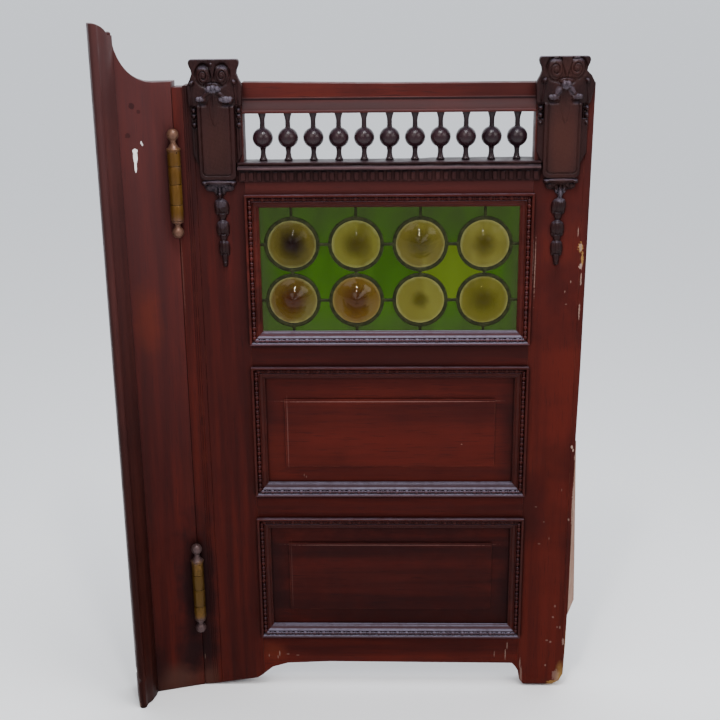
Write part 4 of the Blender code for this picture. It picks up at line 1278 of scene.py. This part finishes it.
capitals = {
    "left": {
        "middle": -322.5, "shoulders": (51, 51), "volutes": ((-19.5, 1296.5, 11.5, 15.5), (14.5, 1297, 11.5,
                                                                                           15.5)),
        "bead": (-4, 1317), "shell": (-2.5, 1271.5), "lobes": (-8.8, 0, 9.2),
        "leaves": ((-26.5, 1254, 9, 5), (21.5, 1253, 12.5, 6.5)), "sideBeads": ((-41.5, 1283), (37, 1285)),
        "tongue": (-1.5, 15.5, 1237, 1206.5), "drops": (), "studs": (-41, 43),
        "studLevels": (1232.5, 1222.5, 1206), "sunk": (-28, 25.5),
    },
    "right": {
        "middle": 322.5, "shoulders": (51, 56.5), "volutes": ((-16, 1302.5, 14, 18), (22, 1305, 13.5, 16.5)),
        "bead": None, "shell": (3.4, 1275), "lobes": (-4.5, 4.5),
        "leaves": ((-18.5, 1252.5, 10, 5.5), (25, 1253.5, 9.5, 5.5)),
        "sideBeads": ((-36, 1283.5), (42.5, 1282)), "tongue": (3.5, 13.5, 1238, 1207), "drops": (1193.5,),
        "studs": (-41.3, 44.5), "studLevels": (1232.5, 1219.5, 1206), "sunk": (-26.5, 28.5),
    },
}
shaft = {"foot": 1104, "top": 1326.5, "corner": 13, "half": 35, "face": 12, "sunk": 6.2, "strip": 4.2}


def capitalOutline(capital):
    levels = [1104, 1130, 1152, 1237, 1243, 1279, 1292.5, 1301, 1308, 1314, 1320, 1324.5, 1326.5]

    def side(z, shoulder):
        corner = shaft["corner"]
        lift = np.clip(shaft["foot"] + corner - z, 0, corner)
        roundedOff = corner - np.sqrt(np.clip(corner * corner - lift * lift, 0, None))
        reach = [35, 35, 46, 46.5, 49, shoulder, shoulder - 7.0, 41.0, 42.0, 45.0, 46.5, 45.5, 43.0]
        return np.interp(z, levels, reach) - roundedOff

    left, right = capital["shoulders"]
    return lambda z: (-side(z, left), side(z, right))


# Shaft with its sunk panel, hollow-moulded inside the border, and low strips with studs on either side
def shaftRelief(capital, x, z):
    face, strip, half = shaft["face"], shaft["strip"], shaft["half"]
    low, high = capital["sunk"]
    corner = 7.0
    qx, qz = np.abs(x - (low + high) / 2) - ((high - low) / 2 - corner), (1113.5 + corner) - z
    inside = np.where((qx > 0) & (qz > 0), np.hypot(qx, qz), np.maximum(qx, qz)) - corner
    panel = face - (face - shaft["sunk"]) * 0.16 * ramp(inside, -0.4, 0.8)
    panel = panel - 1.7 * swell(inside - 0.2, 1.7) + 0.7 * swell(inside, 9.0) * (inside < 0)
    body = strip + (panel - strip) * ramp(np.abs(x), half + 1.0, half - 1.4)
    body = body - 1.6 * swell(np.abs(x) - half - 1.6, 0.9) * ramp(z, 1128, 1150)
    body = body - 1.4 * swell(np.abs(x) - half - 6.0, 0.8) * ramp(z, 1150, 1165)
    for studX in capital["studs"]:
        for level in capital["studLevels"]:
            body = body - ridge(x, z, studX, level, 5.2, 5.4, 1.0, 1.4)
            body = heap(body, strip, dome(x, z, studX, level, 4.2, 4.4, 6.5))
    return body


# Bell with its dark hollows, the block behind the volutes, and the volutes with the web between them
def headRelief(capital, x, z):
    bell = 9.5 + 2.0 * ramp(z, 1246, 1262) + 1.2 * np.cos(x / 49 * math.pi)
    head = np.where(np.abs(x) > 40, bell + 2.0 * ramp(np.abs(x), 40, 46), bell)
    block = 12.5 + 2.3 * ramp(z, 1317.5, 1321.5)
    head = np.where(z > 1290, over(head, block * np.ones_like(x), 1.0), head)
    head = head + (12.5 - head) * ramp(z, 1284, 1293)
    for cx, cz, rx, rz in capital["volutes"]:
        side = 1 if cx > capital["shell"][0] else -1
        outward = ramp((x - cx) * side / rx, -1.0, 0.6)
        shadow = ridge(x, z, cx, cz + 1.5, rx + 3.2, rz + 3.6, 2.3, 4.6)
        head = head - shadow * (0.45 + 0.55 * ramp(z, cz - 6, cz + 8)) * (0.5 + 0.5 * outward)
        head = head - 5.0 * swell(ovalReach(x, z, cx, cz + 1.22 * rz, 0.85 * rx, 0.42 * rz)) * (z < 1324)
        turns = ovalReach(x, z, cx, cz, rx, rz)
        twist = np.arctan2((z - cz) / rz, (x - cx) / rx * side) / (2 * math.pi)
        cut = swell((turns * 2.15 + twist) % 1.0 - 0.5, 0.15)
        cut = cut * ramp(turns, 0.24, 0.36) * ramp(turns, 1.02, 0.92)
        scroll = 10.5 + dome(x, z, cx, cz, rx, rz, 5.5, 0.42) - 3.0 * cut - 1.2 * ramp(turns, 0.75, 0.35)
        scroll = scroll + dome(x, z, cx, cz, 0.22 * rx, 0.22 * rz, 0.9)
        head = np.where(turns < 1.0, over(head, scroll, 0.6), head)
    bead = capital["bead"]
    webX = sum(volute[0] for volute in capital["volutes"]) / 2 + (0 if bead else 0.6)
    webHalf = 1.2 + (5.5 if bead else 8.0) * ramp(z, 1288, 1322)
    web = 15.6 - 1.2 * ((x - webX) / webHalf) ** 2
    head = np.where(np.abs(x - webX) < webHalf, over(head, web), head)
    if bead:
        head = heap(head, 12.0, dome(x, z, *bead, 3.4, 4.2, 7.0))
    sx, sz = capital["shell"]
    return head - ridge(x, z, sx, sz + 7.5, 15, 6, 2.2, 2.5)


# The tongue over the head of the shaft
def tongueRelief(capital, x, z):
    tx, half, top, tip = capital["tongue"]
    neck = capital["shell"][1]
    below = rounded(np.abs(1 - np.clip((z - tip) / (top - tip), 0, 1)) ** 0.8)
    width = np.maximum(half * np.where(z < top, below, 1 - 0.62 * ramp(z, top, neck - 3)), 0.01)
    share = np.clip(1 - ((x - tx) / width) ** 2, 0, 1)
    raised = 10.5 + 3.0 * share ** 0.5 + 0.5 * swell(x - tx, 2.4)
    tongue = np.where((z > tip) & (z < neck), raised, 0) - 0.9 * swell(np.abs(x - tx) - 0.62 * width)
    tongue = np.where(share > 0, tongue, 0)
    for level in capital["drops"]:
        drop = 6.2 + dome(x, z, tx + 0.5, level + 5.5, 3.6, 7.5, 4.2)
        tongue = np.maximum(tongue, np.where(z < tip + 6, drop, 0))
    return tongue


def capitalRelief(capital, x, z):
    body, head, joint = shaftRelief(capital, x, z), headRelief(capital, x, z), ramp(z, 1238, 1246)
    carving = np.maximum(body * (1 - joint) + head * joint, tongueRelief(capital, x, z))
    # straps down to the leaves, each leaf of three lobes
    sx, sz = capital["shell"]
    for side, (lx, lz, rx, rz) in zip((-1, 1), capital["leaves"]):
        carving = carving - 3.2 * swell(ovalReach(x, z, lx, lz - rz - 2.2, rx + 1, 3.4))
        bend = ((sx + lx) / 2 + side * 1.5, (sz + lz) / 2 + 1.0)
        points = [(sx + side * 3.5, sz - 2), bend, (lx - side * 2, lz + 1.5)]
        carving = heap(carving, 11.0, strap(x, z, points, (4.4, 3.4), 5.6))
        for share, size in ((-0.75, 0.55), (-0.12, 0.78), (0.55, 0.62)):
            px, pz = lx + side * share * rx, lz + 0.5 - 0.9 * abs(share + 0.12)
            lobe = dome(x, z, px, pz, rx * 0.52, rz * (0.7 + 0.5 * size), 7.0 * size + 1.2)
            carving = heap(carving, 11.0, lobe, 1.2)
    # shell of small lobes
    for lobe in capital["lobes"]:
        lift = 1.0 - abs(lobe - sum(capital["lobes"]) / len(capital["lobes"])) / 14
        carving = heap(carving, 12.0, dome(x, z, sx + lobe * 0.92, sz + 3.6 * lift, 5.0, 6.2, 9.0), 0.7)
    carving = heap(carving, 11.5, dome(x, z, sx, sz - 3.0, 7.5, 7.0, 5.0))
    for (bx, bz), slant in zip(capital["sideBeads"], (-1, 1)):
        carving = heap(carving, 11.0, dome(x + slant * 0.25 * (z - bz), z, bx, bz, 4.2, 5.4, 8.5))
        carving = heap(carving, 9.0, strap(x, z, [(bx, bz - 3), (bx + slant * 3.0, 1246)], (2.4, 1.8), 4.0))
    # the tool's own unevenness
    hand = np.sin(x * 0.61 + z * 0.23) * np.sin(z * 0.47 - x * 0.31) + np.sin(x * 1.31 - z * 0.83) * 0.5
    return carving + 0.16 * hand


def makeCapitals():
    for side, capital in capitals.items():
        piece = carvedGrid(f"{side}CarvedCapital", capital["middle"], capitalOutline(capital),
                           lambda x, z: capitalRelief(capital, x, z), shaft["foot"], shaft["top"], 132, 290)
        # the crest stands clear above the leaf and has its own back
        edit(piece)
        pick("VERT", lambda vert: vert.co.y > doorOrigin.y - 0.0004 and vert.co.z > doorOrigin.z + 1.2795)
        bpy.ops.transform.resize(value=(1, 0, 1), center_override=(0, doorOrigin.y + 0.006, 0))
        done()
        fit(piece, carvedUpright, f"{side}_capital")
        print(side, "capital", len(piece.data.polygons))


makeCapitals()

husks = {
    "left": {"middle": -322.5, "husks": ((1066, 14.5), (1025, 13), (986, 11)), "bud": 951, "tip": 934.5,
             "lean": ((934, 5.6), (1002, 3.6), (1045, 3.5), (1066, 1.5), (1104, 0.3))},
    "right": {"middle": 322.5, "husks": ((1064, 14), (1021, 13.5), (983, 12)), "bud": 948, "tip": 934.5,
              "lean": ((934, -1.8), (1002, -1.8), (1045, -1.5), (1066, 1), (1104, 1))},
}


# Every swelling of a drop, as (x, z, rx, rz, rise, level it stands on)
def huskSwellings(drop):
    found = [(0, 1099, 33, 5.2, 12, 4.5), (0, 1095.5, 12, 6, 7, 1)]
    for side in (-1, 1):
        found += [(side * 26.5, 1097.5, 6.5, 4.6, 11, 4), (side * 20, 1089.5, 8, 7.5, 7.5, 1),
                  (side * 11.5, 1092.5, 5, 6.5, 6, 1), (side * 7, 1083, 4.5, 9, 4.5, 0.8)]
    found += [(0, 1086, 2.6, 14, 8.5, 1.5), (0, 1073.5, 4.6, 8.5, 11.5, 1.5)]
    for top, reach in drop["husks"]:
        found += [(0, top - 12, 0.72 * reach, 15, 10.5, 2.5), (0, top - 29, 0.55 * reach, 12.5, 6.5, 1.5)]
        for side in (-1, 1):
            found += [(side * 0.42 * reach, top - 14, 0.58 * reach, 13.5, 8, 1.8),
                      (side * 0.62 * reach, top - 23, 0.30 * reach, 6.5, 4.5, 1.2)]
    return found + [(0, drop["bud"], 5.8, 8, 6.5, 1.5), (0, drop["tip"] + 6.5, 5, 6.6, 7.5, 1.2)]


def huskRelief(drop, swellings, x, z):
    carving = np.full_like(x, 1.4)
    for cx, cz, rx, rz, rise, level in swellings:
        carving = heap(carving, level, dome(x, z, cx, cz, rx, rz, rise), 0.5)
    for side in (-1, 1):
        carving = carving - ridge(x, z, side * 20.5, 1089.0, 5.0, 4.6, 0.8, 1.8)
        carving = carving - 2.6 * swell(ovalReach(x, z, side * 16.0, 1097.0, 9.0, 1.5))
    for top, reach in drop["husks"]:
        shown = ramp(z, top - 24, top - 16) * ramp(z, top + 1, top - 5)
        carving = carving - 0.9 * swell(np.abs(x) - 0.34 * reach, 0.9) * shown
        carving = carving - 1.4 * swell(z - (top - 26.0) - 0.030 * x * x, 1.3) * (np.abs(x) < 0.6 * reach)
        carving = carving - 1.1 * swell(z - (top - 0.5), 1.3)
    return np.maximum(carving, 0.9) + 0.10 * np.sin(x * 1.1 + z * 0.4)


def makeHuskDrops():
    for side, drop in husks.items():
        swellings = huskSwellings(drop)

        def lean(z):
            return np.interp(z, *zip(*drop["lean"]))

        def outline(z):
            half = np.full_like(z, 2.2)
            for cx, cz, rx, rz, rise, level in swellings:
                if cx >= 0:
                    width = cx + rx * rounded((z - cz) / rz)
                    half = np.where(np.abs(z - cz) < rz, np.maximum(half, width), half)
            return lean(z) - half, lean(z) + half

        piece = carvedGrid(f"{side}HuskDrop", drop["middle"], outline,
                           lambda x, z: huskRelief(drop, swellings, x - lean(z), z), drop["tip"], 1103.6, 60,
                           300)
        fit(piece, carvedUpright, f"{side}_husk_drop")
    print("husk drops")


makeHuskDrops()

# Hinges
hinge = {
    "radius": 0.0122, "half": 0.067, "seams": (0.037, 0.003, -0.036), "play": 0.00035, "steps": 48,
    "collar": 0.0134, "ball": 0.0112, "ballAbove": 0.0285, "ballBelow": 0.0225, "neck": 0.0054,
    "pinHole": 0.0014, "pinHoles": 5, "leafHalf": 0.057, "plate": 0.002, "plateDepth": 0.037, "reach": 0.0142,
    "seat": 0.0013,
}


def turnedBrass(name, outline):
    obj = spun(name, outline, hinge["steps"])
    smooth(obj, 40)
    return obj


# A barrel length with eased rims
def barrelLength(low, high):
    r, ease, play = hinge["radius"], 0.0007, hinge["play"]
    low, high = low + play, high - play
    return turnedBrass("length", [(0, low), (r - ease, low), (r - 0.0002, low + 0.0003), (r, low + ease),
                                  (r, high - ease), (r - 0.0002, high - 0.0003), (r - ease, high), (0, high)])


def ballOutline(middle, start, end):
    return arc((0, middle), (hinge["ball"], hinge["ball"]), start, end, 13)


# Barrel's top length, with pin holes round it, a lipped collar that slopes in to the neck, and the ball
def hingeCap():
    r, top, foot = hinge["radius"], hinge["half"], hinge["seams"][0] + hinge["play"]
    collar, neck, middle = hinge["collar"], hinge["neck"], hinge["half"] + hinge["ballAbove"]
    body = [(0, foot), (r - 0.0007, foot), (r, foot + 0.0007), (r, top - 0.0012), (r + 0.0002, top - 0.0006)]
    lip = [(collar - 0.0004, top), (collar, top + 0.0008), (collar, top + 0.0022),
           (collar - 0.0006, top + 0.0032), (collar - 0.0038, top + 0.0052), (neck + 0.0024, top + 0.0090),
           (neck + 0.0004, top + 0.0125), (neck, top + 0.0150), (neck + 0.0008, top + 0.0176)]
    cap = turnedBrass("cap", body + lip + ballOutline(middle, -50, 80) + [(0, middle + hinge["ball"])])
    for i in range(hinge["pinHoles"]):
        angle = math.radians(-90 + 36 + i * 360 / hinge["pinHoles"])
        chooseNone()
        place = (r * math.cos(angle), r * math.sin(angle), top - 0.0042)
        bpy.ops.mesh.primitive_cylinder_add(vertices=16, radius=hinge["pinHole"], depth=0.010, location=place,
                                            rotation=(0, math.radians(90), angle))
        drill = bpy.context.object
        modify(cap, "BOOLEAN", object=drill, operation="DIFFERENCE")
        discard(drill)
    smooth(cap, 35)
    return cap


def hingeTip():
    neck, top, middle = hinge["neck"], -hinge["half"] - hinge["play"], -hinge["half"] - hinge["ballBelow"]
    outline = [(0, middle - hinge["ball"])] + ballOutline(middle, -80, 50)
    outline += [(neck + 0.0007, middle + 0.0110), (neck, top - 0.0082), (neck + 0.0005, top - 0.0058),
                (0.0092, top - 0.0040), (0.0112, top - 0.0030), (0.0114, top - 0.0006), (0.0110, top),
                (0, top)]
    return turnedBrass("tip", outline)


# A countersunk screw set in a plate, its head facing along x
def screwHead():
    outline = ((0, -0.0004), (0.0038, -0.0004), (0.0042, 0), (0.0039, 0.00012), (0.0016, 0.00017),
               (0, 0.00018))
    head = spun("screwHead", outline, 20)
    slot = box("slot", (-0.006, -0.00045, 0.00002), (0.006, 0.00045, 0.002))
    modify(head, "BOOLEAN", object=slot, operation="DIFFERENCE")
    discard(slot)
    head.rotation_euler.y = math.radians(90)
    settle(head)
    smooth(head, 35)
    return head


# A plate from one depth to another with its barrel lengths; facing is the side that shows the screws
def plateWithBarrels(near, depths, lengths, barrels, screw, facing):
    half, far, level = hinge["leafHalf"], near + hinge["plate"], barrels[0].z
    front, back = depths
    plate = box("plate", (near, front, level - half), (far, back, level + half))
    modify(plate, "BEVEL", width=0.0004, segments=2)
    parts = [plate]
    for low, high in lengths:
        for place in barrels:
            barrel = barrelLength(low, high)
            barrel.location = place
            settle(barrel)
            edge = front + 0.002 if abs(front - place.y) < abs(back - place.y) else back - 0.002
            start, end = sorted((place.y, edge))
            neck = box("neck", (near, start, level + max(low, -half) + 0.001),
                       (far, end, level + high - 0.001))
            parts += [barrel, neck]
    for share in (-0.8, -0.3, 0.3, 0.8) if facing else ():
        for side in (-1, 1):
            aside = side * 0.009 * (1 if abs(share) > 0.5 else -1)
            head = copyOf(screw, "screw")
            head.rotation_euler = (share * 3 + side, 0, 0 if facing > 0 else math.pi)
            head.location = (far if facing > 0 else near, (front + back) / 2 + aside, level + share * half)
            settle(head)
            parts.append(head)
    piece = join(parts, "plate")
    smooth(piece, 35)
    return piece


# The middle of a barrel
def barrelPlace(side, face):
    node = f"{side}_{face}_hinge_cap"
    place = middleOf(node)
    place.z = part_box(node)[1].z - hinge["half"] - hinge["ballAbove"] - hinge["ball"]
    return place


def hinges(material):
    cap, tip, screw = hingeCap(), hingeTip(), screwHead()
    cuts = [hinge["half"], *hinge["seams"], -hinge["half"]]
    lengths = [(low, high) for high, low in zip(cuts, cuts[1:])]
    reach, seat, thick, long = hinge["reach"], hinge["seat"], hinge["plate"], hinge["plateDepth"]
    for side in ("upper", "lower"):
        front, rear = barrelPlace(side, "front"), barrelPlace(side, "rear")
        for face, place, body in (("front", front, "wing"), ("rear", rear, "leaf")):
            for end, shape in (("cap", cap), ("tip", tip)):
                piece = copyOf(shape, f"{side}{face.title()}{end.title()}", place)
                fit(piece, material, f"{side}_{face}_hinge_{end}", body)
        x, frontEdge, rearEdge = front.x, front.y + reach, rear.y - reach
        for node, near, depths, shares, barrels, facing, body in (
            ("wing_hinge_leaf", x - seat - thick, (frontEdge, frontEdge + long), lengths[1::2], [front], 1,
             "wing"),
            ("door_hinge_leaf", x + seat, (rearEdge - long, rearEdge), lengths[1::2], [rear], -1, "leaf"),
            ("hinge_web", x - thick / 2, (frontEdge, rearEdge), lengths[2:3], [front, rear], 0, "hinge_link"),
        ):
            piece = plateWithBarrels(near, depths, shares, barrels, screw, facing)
            piece.name = pieceName(f"{side}_{node}")
            fit(piece, material, f"{side}_{node}", body)
    discard(cap, tip, screw)
    print("hinges")


# Old lacquered brass: ochre, browned in the hollows, rubbed pinkish and pale on the knobs
def brassFinish():
    material, shader, place = newMaterial("oldBrass")

    def patch(centre, size, soft, ragged):
        sockets = {"Centre": centre, "Half Size": size, "Soft": soft, "Ragged": ragged}
        return placed(place, markGroup, **sockets)["Mask"]

    wear = placed(place, wearGroup, **{"Edge Width": 0.0012, "Hollow Reach": 0.010, "Patchiness": 70.0})
    long = noiseOf(squeezed(place, (1.0, 1.0, 0.25)), 60.0, 4.0)
    tone = blend(remap(long, 0.35, 0.66), (0.080, 0.036, 0.005, 1), (0.120, 0.058, 0.009, 1))
    tone = blend(remap(wear["Mottle"], 0.52, 0.72, 0.0, 0.6), tone, (0.060, 0.030, 0.012, 1))
    tone = blend(wear["Hollow"] * 0.5, tone, (0.030, 0.014, 0.007, 1))
    tone = blend(wear["Edge"] * 0.7, tone, (0.30, 0.20, 0.12, 1))
    dull = patch(barrelPlace("lower", "rear"), (0.1, 0.1, 0.095), 0.1, 0.1)
    tone = blend(dull * 0.75, tone, (0.048, 0.025, 0.003, 1))
    rises = (hinge["half"] + hinge["ballAbove"], -hinge["half"] - hinge["ballBelow"])
    for side, tint in (("upper", (0.112, 0.056, 0.042, 1)), ("lower", (0.060, 0.039, 0.048, 1))):
        for face in ("front", "rear"):
            for rise in rises:
                knob = barrelPlace(side, face) + Vector((0, 0, rise))
                tone = blend(patch(knob, (0.027, 0.027, 0.031), 0.25, 0.2) * 0.8, tone, tint)
    gloss = remap(wear["Mottle"], 0.30, 0.72, 0.30, 0.52)
    surface(shader, {"Base Color": tone, "Roughness": gloss, "Metallic": 0.45, "Specular IOR Level": 0.2},
            wear["Mottle"], 0.12, 0.0004)
    return material


hinges(brassFinish())
